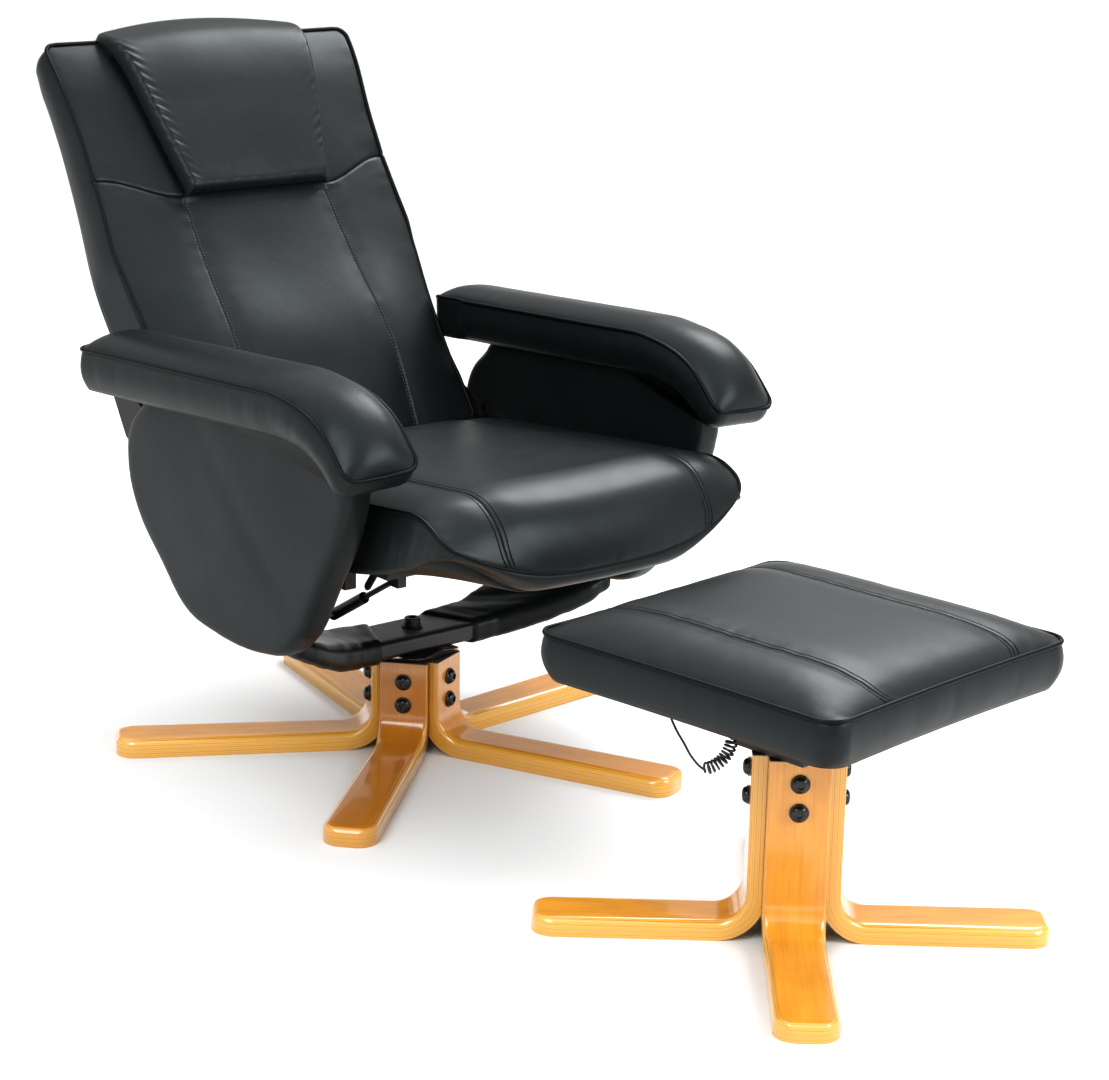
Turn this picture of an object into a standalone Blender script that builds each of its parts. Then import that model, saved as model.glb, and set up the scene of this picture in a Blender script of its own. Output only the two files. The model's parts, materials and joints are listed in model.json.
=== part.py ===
"""Swivel recliner armchair with massage motors, and its matching footstool.

Metres, +Z up. The chair faces -Y, and every object is one physical piece.
"""
import math

import bmesh
import bpy
from mathutils import Matrix, Vector

# Fits
GAP = 0.0003                  # between pieces that touch
PIN_PLAY = 0.0004             # round a pin that turns
OPEN_PIVOT_PLAY = 0.0008      # round the pivot that closes the four-bar linkage

# Chair base: bent plywood legs bolted round a steel hub
CHAIR_LEGS = 5
CHAIR_LEG_TURN = math.radians(77.35)   # bearing of the leg that points backwards
CHAIR_LEG_REACH = 0.418
CHAIR_LEG_TOP = 0.135
CHAIR_LEG_FACE = 0.0605                # swivel axis to the outer face of an upright
CHAIR_LEG_WIDTH_TOP = 0.067
CHAIR_LEG_WIDTH_TIP = 0.074
CHAIR_LEG_THICKNESS = 0.026
CHAIR_BOLT_HEIGHTS = (0.107, 0.073)

# Footstool base
STOOL_LEGS = 4
STOOL_LEG_TURN = math.radians(45)
STOOL_LEG_REACH = 0.313
STOOL_LEG_TOP = 0.238
STOOL_LEG_FACE = 0.0565
STOOL_LEG_WIDTH_TOP = 0.0745
STOOL_LEG_WIDTH_TIP = 0.0765
STOOL_LEG_THICKNESS = 0.0238
STOOL_BOLT_HEIGHTS = (0.210, 0.174)

# Shared leg details
LEG_BEND = 0.036              # radius inside the bend
LEG_TIP_ROUND = 0.022
LEG_EDGE = 0.0020
HUB_BASE = 0.012              # underside of both hubs
BOLT_HEAD = 0.0100
BOLT_HEAD_HEIGHT = 0.0074
BOLT_WASHER = 0.0118
BOLT_WASHER_THICKNESS = 0.0017
BOLT_SHANK = 0.0040
BOLT_BITE = 0.011             # thread length in the hub

# Swivel
SPINDLE_RADIUS = 0.0130
SPINDLE_COLLAR = 0.0175
SPINDLE_COLLAR_HEIGHT = 0.0025
BEARING_RADIUS = 0.0165
BEARING_HEIGHT = 0.0035
CAP_BOLT_RADIUS = 0.0115
CAP_BOLT_HEIGHT = 0.014
CAP_BOLT_FLANGE = 0.0148
CAP_BOLT_FLANGE_HEIGHT = 0.002
CAP_BOLT_SHANK = 0.006
CAP_BOLT_BITE = 0.040

# Cradle: steel plate with upswept arms between the side panels
CRADLE_FLAT = 0.085           # half length of the level middle
CRADLE_FRONT = -0.036
CRADLE_REAR = 0.044
CRADLE_ARM_FRONT = -0.110
CRADLE_ARM_REAR = 0.062
CRADLE_THICKNESS = 0.028
CRADLE_ARM_THICKNESS = 0.022
CRADLE_RISE = 0.067
CRADLE_EDGE = 0.005

# Side panels
PANEL_INNER = 0.275
PANEL_THICKNESS = 0.045
PANEL_SOFT_EDGE = 0.010
PANEL_OUTLINE = (             # y, z round the panel; its top runs into the arm pad and is cut there
    (0.145, 0.560), (0.190, 0.500), (0.224, 0.466), (0.236, 0.422), (0.212, 0.348), (0.150, 0.284),
    (0.094, 0.233), (0.040, 0.218), (-0.100, 0.218), (-0.150, 0.236), (-0.225, 0.345), (-0.270, 0.430),
    (-0.276, 0.505), (-0.230, 0.560), (-0.040, 0.570),
)

# Arm pads
ARM_MIDDLE = 0.3065           # mid plane of the chair to the middle of a pad
ARM_HALF_WIDTH = 0.0540
ARM_REAR = 0.288
ARM_REAR_HEIGHT = 0.568       # piping line at the rear end
ARM_BEND_START = -0.160
ARM_BEND_HEIGHT = 0.592
ARM_BEND_RADIUS = 0.200
ARM_DROOP = math.radians(40)  # slope of the nose
ARM_NOSE = 0.056
ARM_THICKNESS = 0.058
ARM_NOSE_THICKNESS = 0.044
ARM_CROWN = 0.019
ARM_TILT = 0.06               # inner edge higher, per metre across
ARM_CORNER = 0.034

# Recline linkage: a parallelogram in each side
BACK_PIVOT = (0.195, 0.420)   # y, z
FRONT_PIVOT = (-0.060, 0.410)
LINK_DROP = (-0.045, -0.105)  # from an upper pivot to the seat pivot under it
RECLINE_MIN = math.radians(-5)
RECLINE_MAX = math.radians(20)
LINK_PLANE = 0.2595           # inner face of the link plates
LINK_THICKNESS = 0.005
LINK_EYE = 0.013
PIVOT_RADIUS = 0.005
PIVOT_COLLAR = 0.009
PANEL_BORE_DEPTH = 0.016
RAIL_BORE_DEPTH = 0.012
HINGE_ARM_REACH = (0.105, 0.165)   # where the hinge arm meets the back board, along the back

# Backrest
BACK_FOOT = (0.170, 0.405)    # y, z of the lower end of the front piping
BACK_LENGTH = 0.654
BACK_LEAN_LOW = math.radians(37.5)
BACK_LEAN_HIGH = math.radians(29)
BACK_LEAN_TOP = math.radians(44)
BACK_ROLL_START = 0.560       # where the top begins to roll back
BACK_HALF_LOW = 0.245
BACK_HALF_HIGH = 0.254
BACK_FLARE = 0.008            # how much wider the top corners are
BACK_CORNER = 0.018
BACK_BULGE = 0.008            # how far the sides swell over the small of the back
BACK_DEPTH_LOW = 0.106        # gusset, front piping to rear edge
BACK_DEPTH_HIGH = 0.056
BACK_TOP_DEPTH = 0.042
BACK_CROWN_LUMBAR = 0.036
BACK_CROWN_HIGH = 0.012
BACK_SEAM_DEPTH = 0.004
BACK_BOARD_THICKNESS = 0.012
BACK_BOARD_HALF = 0.236
BACK_BOARD_ROWS = (2, 16)     # rows of the padding that the board covers
BACK_MOTORS = (0.170, 0.340)  # heights along the back

# Head pillow
PILLOW_START = 0.398
PILLOW_OVER = 0.034           # how far it stands above the top of the back
PILLOW_HALF_LOW = 0.123
PILLOW_HALF_HIGH = 0.178
PILLOW_CROWN = 0.030
PILLOW_EDGE = 0.012
PILLOW_WRAP = 0.056
PILLOW_CORNER = 0.022

# Seat
SEAT_REAR = 0.152
SEAT_NOSE = -0.330            # where the top begins to roll over the front
SEAT_HALF = 0.254
SEAT_LIFT = 0.058              # how far the underside sweeps up at the front corners
SEAT_BASE = 0.335
SEAT_REAR_HEIGHT = 0.412      # piping line
SEAT_NOSE_HEIGHT = 0.450
SEAT_NOSE_RADIUS = 0.094
SEAT_FRONT_TURN = math.radians(84)
SEAT_CORNER_TURN = math.radians(50)
SEAT_CROWN = 0.022
SEAT_FRONT_BOW = 0.010
SEAT_TUCK = 0.045             # how far the underside draws back below the front piping
SEAT_CORNER = 0.045
SEAT_SEAM_DEPTH = 0.004
SEAT_BOARD_THICKNESS = 0.009
SEAT_BOARD_HALF = 0.205
SEAT_BOARD_FRONT = -0.215
RAIL_THICKNESS = 0.018
RAIL_HEIGHT = 0.036
RAIL_FRONT = -0.122
RAIL_REAR = 0.148
SEAT_MOTOR = -0.080

# Massage fittings
MOTOR_RADIUS = 0.028
MOTOR_HEIGHT = 0.022
CONTROL_BOX = (0.120, 0.085, 0.034)
CONTROL_BOX_REAR = 0.125
INLET_RADIUS = 0.0045
INLET_DEPTH = 0.012

# Recline lock under the left side of the seat
LOCK_PLANE = 0.033 - SEAT_BOARD_HALF   # beside the left rail
LOCK_FOOT = (-0.056, 0.236)   # y, z of its lower pin
LOCK_TUBE = 0.0082
LOCK_TUBE_BORE = 0.0064
LOCK_TUBE_LENGTH = 0.074
LOCK_ROD = 0.0040
LOCK_ROD_OVERLAP = 0.052
LOCK_LENGTH = 0.160
LOCK_HEAD = 0.010
LOCK_FLANGE = (0.046, 0.010)  # length behind the head and thickness, under the seat board
LEVER_BEHIND = 0.036          # from the head back to the lever's pin
LEVER_LENGTH = 0.030
LEVER_DROOP = 0.93             # below level, at rest
LEVER_THICKNESS = 0.004

# Footstool top
STOOL_CENTRE = (-0.040, -0.813)        # from the swivel axis
STOOL_TURN = math.radians(4.3)
STOOL_PAD_TURN = math.radians(1.9)     # of the pad on its legs
STOOL_HALF = 0.224
STOOL_CORNER = 0.026
STOOL_BASE = 0.318
STOOL_BAND = 0.058
STOOL_CROWN = 0.030
STOOL_PULL = 0.020                     # share by which the sides draw in between the corners
STOOL_SEAM_DEPTH = 0.005
STOOL_BOARD_HALF = 0.170
STOOL_BOARD_THICKNESS = 0.012
STOOL_BOX_HALF = 0.055
STOOL_BOX_WALL = 0.004

# Curly cord under the footstool
CORD_RADIUS = 0.0014
CORD_GLAND = (-0.153, -0.030)          # x, y from the middle of the footstool
CORD_SOCKET = (-0.155, 0.065)
GLAND_HEIGHT = 0.008
GLAND_RADIUS = 0.0065
SOCKET_SIZE = (0.016, 0.014, 0.008)
CORD_CURLS = 11
CORD_CURL_RADIUS = 0.0065
CORD_CURL_POINTS = 9
CORD_ARC_RADIUS = 0.034
CORD_ARC_BEARING = math.radians(155)
CORD_LEAD = (                          # from the last curl back up to the socket
    (-0.1870, -0.0100, 0.2620), (-0.1830, 0.0060, 0.2685), (-0.1770, 0.0220, 0.2770),
    (-0.1700, 0.0400, 0.2850), (-0.1585, 0.0595, 0.2910),
)

PARTS = None
CUTTERS = None
PLACES = {}


def clear_scene():
    """Empty the file and make the two collections."""
    global PARTS, CUTTERS
    for item in list(bpy.data.objects):
        bpy.data.objects.remove(item, do_unlink=True)
    PARTS = bpy.data.collections.new("massage_armchair")
    CUTTERS = bpy.data.collections.new("cutters")
    bpy.context.scene.collection.children.link(PARTS)
    bpy.context.scene.collection.children.link(CUTTERS)


def finish_of(name, colour, roughness, metallic=0.0):
    """A plain Principled finish."""
    finish = bpy.data.materials.new(name)
    finish.use_nodes = True
    shader = finish.node_tree.nodes["Principled BSDF"]
    shader.inputs["Base Color"].default_value = (*colour, 1.0)
    shader.inputs["Roughness"].default_value = roughness
    shader.inputs["Metallic"].default_value = metallic
    return finish


def pivot(name, place, parent=None, turn=0.0):
    """An empty on a joint's axis. Its pieces are parented to it."""
    empty = bpy.data.objects.new(name, None)
    PARTS.objects.link(empty)
    PLACES[name] = Vector(place)
    empty.parent = parent
    empty.location = PLACES[name] - (PLACES[parent.name] if parent else Vector())
    empty.rotation_euler.z = turn
    return empty


def add_piece(name, mesh, finish, carrier, local=False, matrix=None):
    """One sub-part on its carrier. A local mesh is drawn about the carrier's own place."""
    piece = bpy.data.objects.new(name, mesh)
    PARTS.objects.link(piece)
    if not mesh.materials:
        mesh.materials.append(finish)
    piece.parent = carrier
    if not local:
        piece.matrix_parent_inverse = Matrix.Translation(-PLACES[carrier.name])
    if matrix is not None:
        piece.matrix_basis = matrix
    return piece


def guide(mesh, like):
    """A hidden solid that is cut from, or joined to, a piece."""
    item = bpy.data.objects.new(mesh.name, mesh)
    CUTTERS.objects.link(item)
    item.hide_render = True
    item.display_type = "WIRE"
    item.parent = like.parent
    item.matrix_parent_inverse = like.matrix_parent_inverse.copy()
    return item


def combine(piece, meshes, operation):
    """Join meshes to a piece, or cut them out of it."""
    for mesh in meshes:
        step = piece.modifiers.new(operation.lower(), "BOOLEAN")
        step.operation = operation
        step.solver = "EXACT"
        step.object = guide(mesh, piece)
    return piece


def join(piece, *meshes):
    return combine(piece, meshes, "UNION")


def cut(piece, *meshes):
    return combine(piece, meshes, "DIFFERENCE")


def soften(piece, width, segments=1, angle=35):
    """Round the sharp edges of a piece."""
    step = piece.modifiers.new("edges", "BEVEL")
    step.width = width
    step.segments = segments
    step.limit_method = "ANGLE"
    step.angle_limit = math.radians(angle)
    return piece


def mesh_of(name, bm):
    """Close a bmesh into a mesh with its faces pointing outwards."""
    bmesh.ops.recalc_face_normals(bm, faces=bm.faces)
    mesh = bpy.data.meshes.new(name)
    bm.to_mesh(mesh)
    bm.free()
    mesh.shade_smooth()
    mesh.set_sharp_from_angle(angle=math.radians(35))
    return mesh


def bake(piece):
    """The evaluated mesh of a piece that others will share. The piece and its guides go."""
    bpy.context.view_layer.update()
    graph = bpy.context.evaluated_depsgraph_get()
    mesh = bpy.data.meshes.new_from_object(piece.evaluated_get(graph))
    mesh.name = piece.name
    helpers = [step.object for step in piece.modifiers if step.type == "BOOLEAN"]
    for item in helpers + [piece]:
        bpy.data.objects.remove(item, do_unlink=True)
    return mesh


def box(name, low, high):
    """A block between two corners."""
    bm = bmesh.new()
    size = Vector(high) - Vector(low)
    middle = (Vector(high) + Vector(low)) / 2
    bmesh.ops.create_cube(bm, size=1.0, matrix=Matrix.Translation(middle) @ Matrix.Diagonal((*size, 1.0)))
    return mesh_of(name, bm)


def rod(name, start, end, radius, sides=16):
    """A round bar between two points."""
    start, end = Vector(start), Vector(end)
    along = end - start
    turn = along.to_track_quat("Z", "Y").to_matrix().to_4x4()
    place = Matrix.Translation((start + end) / 2) @ turn
    bm = bmesh.new()
    bmesh.ops.create_cone(bm, cap_ends=True, segments=sides, radius1=radius, radius2=radius,
                          depth=along.length, matrix=place)
    return mesh_of(name, bm)


def bore(name, start, end, radius, sides=16):
    """A cutter for a round hole whose flats stay clear of a pin of the radius."""
    return rod(name, start, end, radius / math.cos(math.pi / sides), sides)


def turned(name, profile, finish, carrier, steps=24, closed=False, matrix=None, local=False):
    """A turned piece: radius and height down its outer side, spun by a Screw modifier."""
    mesh = bpy.data.meshes.new(name)
    edges = [(i, i + 1) for i in range(len(profile) - 1)]
    if closed:
        edges.append((len(profile) - 1, 0))
    mesh.from_pydata([(radius, 0.0, height) for radius, height in profile], edges, [])
    piece = add_piece(name, mesh, finish, carrier, local=local, matrix=matrix)
    step = piece.modifiers.new("turn", "SCREW")
    step.steps = steps
    step.render_steps = steps
    step.use_merge_vertices = True
    step.merge_threshold = 0.00001
    step.use_smooth_shade = True
    return piece


def flat_mesh(name, outline, thickness, soft_edge=0.0, rounded=False):
    """A plate from an outline in its own XY plane, with its middle layer at z = 0."""
    curve = bpy.data.curves.new(name, "CURVE")
    curve.dimensions = "2D"
    curve.fill_mode = "BOTH"
    curve.extrude = thickness / 2 - soft_edge
    curve.bevel_depth = soft_edge
    curve.bevel_resolution = 1
    curve.offset = -soft_edge / 2
    spline = curve.splines.new("BEZIER" if rounded else "POLY")
    spline.use_cyclic_u = True
    points = spline.bezier_points if rounded else spline.points
    points.add(len(outline) - 1)
    for point, (x, y) in zip(points, outline):
        if rounded:
            point.co = (x, y, 0.0)
            point.handle_left_type = "AUTO"
            point.handle_right_type = "AUTO"
        else:
            point.co = (x, y, 0.0, 1.0)
    spline.resolution_u = 4
    item = bpy.data.objects.new(name, curve)
    CUTTERS.objects.link(item)
    bpy.context.view_layer.update()
    graph = bpy.context.evaluated_depsgraph_get()
    mesh = bpy.data.meshes.new_from_object(item.evaluated_get(graph))
    bpy.data.objects.remove(item, do_unlink=True)
    bm = bmesh.new()
    bm.from_mesh(mesh)
    bmesh.ops.remove_doubles(bm, verts=bm.verts, dist=0.00001)
    return mesh_of(name, bm)


def upright_plate(name, outline, x_middle, thickness, soft_edge=0.0, rounded=False):
    """A plate whose outline is given as y, z, standing across X."""
    mesh = flat_mesh(name, outline, thickness, soft_edge, rounded)
    turn = Matrix(((0, 0, 1, x_middle), (1, 0, 0, 0), (0, 1, 0, 0), (0, 0, 0, 1)))
    mesh.transform(turn)
    return mesh


def rounded_hull(corners, radius, steps=4):
    """The outline of a link: a convex ring of corners, listed counter-clockwise, each with a round end."""
    outline = []
    count = len(corners)
    for i, corner in enumerate(corners):
        before = Vector(corner) - Vector(corners[i - 1])
        after = Vector(corners[(i + 1) % count]) - Vector(corner)
        start = math.atan2(before.y, before.x) - math.pi / 2
        sweep = (math.atan2(after.y, after.x) - math.pi / 2 - start) % (2 * math.pi)
        for k in range(steps + 1):
            angle = start + sweep * k / steps
            outline.append((corner[0] + radius * math.cos(angle), corner[1] + radius * math.sin(angle)))
    return outline


def cushion(name, columns, rows, top, rings, under=None):
    """A padded form: a top of columns by rows, side rings below its border, and its underside.

    top(u, v) places the upper surface and each ring(u, v) one loop round the sides. The underside is flat
    from side to side, unless under(u, v) places it.
    """
    bm = bmesh.new()
    width, length = len(columns), len(rows)
    grid = [[bm.verts.new(top(u, v)) for u in columns] for v in rows]
    for j in range(length - 1):
        for i in range(width - 1):
            bm.faces.new((grid[j][i], grid[j][i + 1], grid[j + 1][i + 1], grid[j + 1][i]))
    border = [(i, 0) for i in range(width)] + [(width - 1, j) for j in range(1, length)]
    border += [(i, length - 1) for i in range(width - 2, -1, -1)] + [(0, j) for j in range(length - 2, 0, -1)]
    loop = {at: grid[at[1]][at[0]] for at in border}
    for ring in rings:
        lower = {(i, j): bm.verts.new(ring(columns[i], rows[j])) for i, j in border}
        for a, b in zip(border, border[1:] + border[:1]):
            bm.faces.new((loop[a], loop[b], lower[b], lower[a]))
        loop = lower
    if under:
        inside = {(i, j): bm.verts.new(under(columns[i], rows[j]))
                  for i in range(1, width - 1) for j in range(1, length - 1)}
        floor = {**inside, **loop}
        for j in range(length - 1):
            for i in range(width - 1):
                bm.faces.new((floor[i, j], floor[i, j + 1], floor[i + 1, j + 1], floor[i + 1, j]))
        return mesh_of(name, bm)
    for j in range(length - 1):
        near = [loop[(i, 0)] for i in range(width)] if j == 0 else [loop[(0, j)], loop[(width - 1, j)]]
        far = [loop[(0, j + 1)], loop[(width - 1, j + 1)]]
        if j == length - 2:
            far = [loop[(i, j + 1)] for i in range(width)]
        bm.faces.new(near + far[::-1])
    return mesh_of(name, bm)


def mirrored(values):
    """Columns from the middle out, repeated on the other side."""
    return [-value for value in reversed(values) if value > 0] + list(values)


BACK_COLUMNS = mirrored([0.0, 0.20, 0.37, 0.46, 0.50, 0.54, 0.66, 0.80, 0.91, 1.0])


def spread(count):
    """Rows from -1 to 1, closer together towards both ends."""
    return [math.sin(math.pi / 2 * (2 * k / count - 1)) for k in range(count + 1)]


def rounded_half(half, corner, from_end):
    """Half width of a plan with round corners, at a distance from its end."""
    reach = max(corner - from_end, 0.0)
    return half - corner + math.sqrt(max(corner * corner - reach * reach, 0.0))


def groove(distance, width=0.012):
    """A sewn channel's depth, from 1 at the seam to 0 beside it."""
    return math.exp(-(distance / width) ** 2)


def mix(a, b, t):
    return a + (b - a) * t


def ease(t):
    t = min(max(t, 0.0), 1.0)
    return t * t * (3 - 2 * t)


def leg_mesh(name, reach, top, face, width_top, width_tip, thickness, bolt_heights, count, finish, carrier):
    """A plywood blank, bent from the upright into the foot, mitred to its neighbours and drilled."""
    rise = top - thickness - LEG_BEND
    turn = LEG_BEND * math.pi / 2
    length = rise + turn + reach - face - LEG_BEND
    bend_steps, tip_steps = 6, 3
    tip = length - LEG_TIP_ROUND
    stations = [0.0] + [rise + turn * k / bend_steps for k in range(bend_steps + 1)]
    stations += [tip + LEG_TIP_ROUND * math.sin(math.pi / 2 * k / tip_steps) for k in range(tip_steps + 1)]

    def along(s):
        if s <= rise:
            return face, top - s
        if s <= rise + turn:
            angle = (s - rise) / LEG_BEND
            return face + LEG_BEND * (1 - math.cos(angle)), thickness + LEG_BEND * (1 - math.sin(angle))
        return face + LEG_BEND + s - rise - turn, thickness

    bm = bmesh.new()
    bmesh.ops.create_grid(bm, x_segments=len(stations) - 1, y_segments=1, size=1.0)
    for vert in bm.verts:
        s = stations[round((vert.co.x + 1) / 2 * (len(stations) - 1))]
        side = 1 if vert.co.y > 0 else -1
        half = mix(width_top, width_tip, s / length) / 2
        r, z = along(s)
        vert.co = (r, side * rounded_half(half, LEG_TIP_ROUND, length - s), z)
    leg = add_piece(name, mesh_of(name, bm), finish, carrier)
    inwards = leg.data.polygons[0].normal.x < 0
    step = leg.modifiers.new("plies", "SOLIDIFY")
    step.thickness = thickness
    step.offset = 1 if inwards else -1
    step.use_even_offset = True
    soften(leg, LEG_EDGE)
    sector = math.pi / count
    wedge = []
    for side in (-1, 1):
        edge = Vector((math.cos(sector), side * math.sin(sector), 0.0))
        across = Vector((-edge.y, edge.x, 0.0)) * side
        low = edge * face + across * (face - GAP)
        size = Matrix.Diagonal((4 * face, 2 * face, 4 * top, 1.0))
        block = bmesh.new()
        turn_to = Matrix.Rotation(side * sector, 4, "Z")
        bmesh.ops.create_cube(block, size=1.0, matrix=Matrix.Translation(low) @ turn_to @ size)
        wedge.append(mesh_of("mitre", block))
    holes = [bore("bolt_hole", (0, 0, z), (2 * face, 0, z), BOLT_SHANK + GAP, 10) for z in bolt_heights]
    cut(leg, *wedge, *holes)
    return bake(leg)


def bolt(name, length, finish, carrier):
    """A domed cap bolt with its washer, pointing out along +Z from the face it clamps."""
    profile = (
        (0.0, BOLT_HEAD_HEIGHT), (BOLT_HEAD * 0.62, BOLT_HEAD_HEIGHT * 0.88),
        (BOLT_HEAD, BOLT_WASHER_THICKNESS), (BOLT_WASHER, BOLT_WASHER_THICKNESS), (BOLT_WASHER, GAP),
        (BOLT_SHANK, GAP), (BOLT_SHANK, -length), (0.0, -length),
    )
    return bake(turned(name, profile, finish, carrier, steps=10))


def leg_set(prefix, count, first, face, thickness, leg, heights, finishes, carrier):
    """Legs round an axis, each with its bolts."""
    fixing = bolt(prefix + "_bolt_mesh", thickness + BOLT_BITE, finishes["black_steel"], carrier)
    number = 0
    for i in range(count):
        bearing = first + 2 * math.pi * i / count
        spin = Matrix.Rotation(bearing, 4, "Z")
        add_piece(f"{prefix}_{i + 1}", leg, finishes["plywood"], carrier, local=True, matrix=spin)
        for z in heights:
            number += 1
            out = spin @ Matrix.Translation((face, 0, z)) @ Matrix.Rotation(math.pi / 2, 4, "Y")
            add_piece(f"{prefix}_bolt_{number}", fixing, finishes["black_steel"], carrier, local=True,
                      matrix=out)


def hub(name, count, first, face, thickness, top, heights, core, finish, carrier):
    """The steel core that the legs are bolted to."""
    flat = face - thickness - GAP
    bm = bmesh.new()
    turn = first - math.pi / 2 - math.pi / count   # a new prism has a corner at +Y
    place = Matrix.Translation((0, 0, (top + HUB_BASE) / 2)) @ Matrix.Rotation(turn, 4, "Z")
    corner = flat / math.cos(math.pi / count)
    bmesh.ops.create_cone(bm, cap_ends=True, segments=count, radius1=corner, radius2=corner,
                          depth=top - HUB_BASE, matrix=place)
    piece = add_piece(name, mesh_of(name, bm), finish, carrier, local=True)
    holes = [bore("hub_bore", (0, 0, HUB_BASE - 0.01), (0, 0, top + 0.01), core + GAP, 20)]
    for i in range(count):
        bearing = first + 2 * math.pi * i / count
        out = Vector((math.cos(bearing), math.sin(bearing), 0))
        for z in heights:
            foot = out * (flat - BOLT_BITE - 2 * GAP) + Vector((0, 0, z))
            holes.append(bore("thread", foot, foot + out * (BOLT_BITE + 0.01), BOLT_SHANK + GAP, 10))
    return cut(piece, *holes)


def swivel(finishes, base):
    """Spindle, thrust bearing and cap bolt. Returns the underside height of the cradle."""
    collar = CHAIR_LEG_TOP + GAP
    shoulder = collar + SPINDLE_COLLAR_HEIGHT
    bearing_low = shoulder + GAP
    bearing_high = bearing_low + BEARING_HEIGHT
    cradle_low = bearing_high + GAP
    head = cradle_low + CRADLE_THICKNESS
    foot = HUB_BASE + BOLT_HEAD
    spindle = turned("swivel_spindle", (
        (0.0, head), (SPINDLE_RADIUS, head), (SPINDLE_RADIUS, shoulder), (SPINDLE_COLLAR, shoulder),
        (SPINDLE_COLLAR, collar), (SPINDLE_RADIUS, collar), (SPINDLE_RADIUS, foot), (0.0, foot),
    ), finishes["black_steel"], base, steps=20, local=True)
    deep = head - CAP_BOLT_BITE - GAP
    cut(spindle, bore("thread", (0, 0, deep), (0, 0, head + 0.01), CAP_BOLT_SHANK + GAP, 14))
    inner = SPINDLE_RADIUS + PIN_PLAY
    turned("swivel_bearing", (
        (BEARING_RADIUS, bearing_high), (BEARING_RADIUS, bearing_low),
        (inner, bearing_low), (inner, bearing_high),
    ), finishes["bright_steel"], base, steps=20, closed=True, local=True)
    seat = head + GAP
    flange = seat + CAP_BOLT_FLANGE_HEIGHT
    top = flange + CAP_BOLT_HEIGHT - CAP_BOLT_FLANGE_HEIGHT
    socket = CAP_BOLT_RADIUS * 0.52
    depth = CAP_BOLT_HEIGHT * 0.35
    turned("swivel_cap_bolt", (
        (0.0, top - depth), (socket, top - depth), (socket, top), (CAP_BOLT_RADIUS - 0.001, top),
        (CAP_BOLT_RADIUS, top - 0.001), (CAP_BOLT_RADIUS, flange), (CAP_BOLT_FLANGE, flange),
        (CAP_BOLT_FLANGE, seat), (CAP_BOLT_SHANK, seat), (CAP_BOLT_SHANK, head - CAP_BOLT_BITE),
        (0.0, head - CAP_BOLT_BITE),
    ), finishes["black_steel"], base, steps=16, local=True)
    return cradle_low


def cradle(low, finish, carrier):
    """A steel plate, level over the spindle, whose arms widen and sweep up to the side panels."""
    half = PANEL_INNER - GAP
    bm = bmesh.new()
    bmesh.ops.create_cube(bm, size=2.0)
    lengthways = [e for e in bm.edges if abs(e.verts[0].co.x - e.verts[1].co.x) > 1]
    bmesh.ops.subdivide_edges(bm, edges=lengthways, cuts=17)
    for vert in bm.verts:
        x = vert.co.x * half
        t = max(abs(x) - CRADLE_FLAT, 0.0) / (half - CRADLE_FLAT)
        front, rear = (CRADLE_FRONT, CRADLE_ARM_FRONT), (CRADLE_REAR, CRADLE_ARM_REAR)
        y = mix(*(front if vert.co.y < 0 else rear), ease(t))
        z = low + CRADLE_RISE * t ** 1.6
        if vert.co.z > 0:
            z += mix(CRADLE_THICKNESS, CRADLE_ARM_THICKNESS, t)
        vert.co = (x, y, z)
    piece = add_piece("cradle", mesh_of("cradle", bm), finish, carrier)
    soften(piece, CRADLE_EDGE)
    cut(piece, bore("spindle_bore", (0, 0, low - 0.02), (0, 0, low + 0.1), SPINDLE_RADIUS + PIN_PLAY, 20))
    return piece


def arm_at(s):
    """The piping line of an arm pad at a length along it: y, z and its slope."""
    run = math.hypot(ARM_REAR - ARM_BEND_START, ARM_BEND_HEIGHT - ARM_REAR_HEIGHT)
    slope = math.atan2(ARM_BEND_HEIGHT - ARM_REAR_HEIGHT, ARM_REAR - ARM_BEND_START)
    arc = ARM_BEND_RADIUS * (ARM_DROOP + slope)
    if s <= run:
        return ARM_REAR - s * math.cos(slope), ARM_REAR_HEIGHT + s * math.sin(slope), slope
    angle = min(s - run, arc) / ARM_BEND_RADIUS
    heading = slope - angle
    y = ARM_BEND_START - ARM_BEND_RADIUS * (math.sin(slope) - math.sin(heading))
    z = ARM_BEND_HEIGHT + ARM_BEND_RADIUS * (math.cos(heading) - math.cos(slope))
    rest = max(s - run - arc, 0.0)
    return y - rest * math.cos(heading), z + rest * math.sin(heading), heading


def arm_length():
    run = math.hypot(ARM_REAR - ARM_BEND_START, ARM_BEND_HEIGHT - ARM_REAR_HEIGHT)
    slope = math.atan2(ARM_BEND_HEIGHT - ARM_REAR_HEIGHT, ARM_REAR - ARM_BEND_START)
    return run + ARM_BEND_RADIUS * (ARM_DROOP + slope) + ARM_NOSE


def arm_rows():
    """Lengths along an arm pad: round ends, a long straight run and the bend."""
    length = arm_length()
    ends = [ARM_CORNER * (1 - math.cos(math.pi / 2 * k / 4)) for k in range(5)]
    middle = [mix(ARM_CORNER, length - ARM_CORNER, k / 13) for k in range(1, 13)]
    return ends + middle + [length - e for e in reversed(ends)]


def arm_place(side, across, s, rise):
    """A point of an arm pad, across it from the middle outwards and up from its piping line."""
    y, z, heading = arm_at(s)
    up = rise - ARM_TILT * across
    return Vector((side * (ARM_MIDDLE + across), y + up * math.sin(heading), z + up * math.cos(heading)))


def arm_thickness(s):
    run = ARM_REAR - ARM_BEND_START
    return mix(ARM_THICKNESS, ARM_NOSE_THICKNESS, ease((s - run) / (arm_length() - run)))


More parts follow.
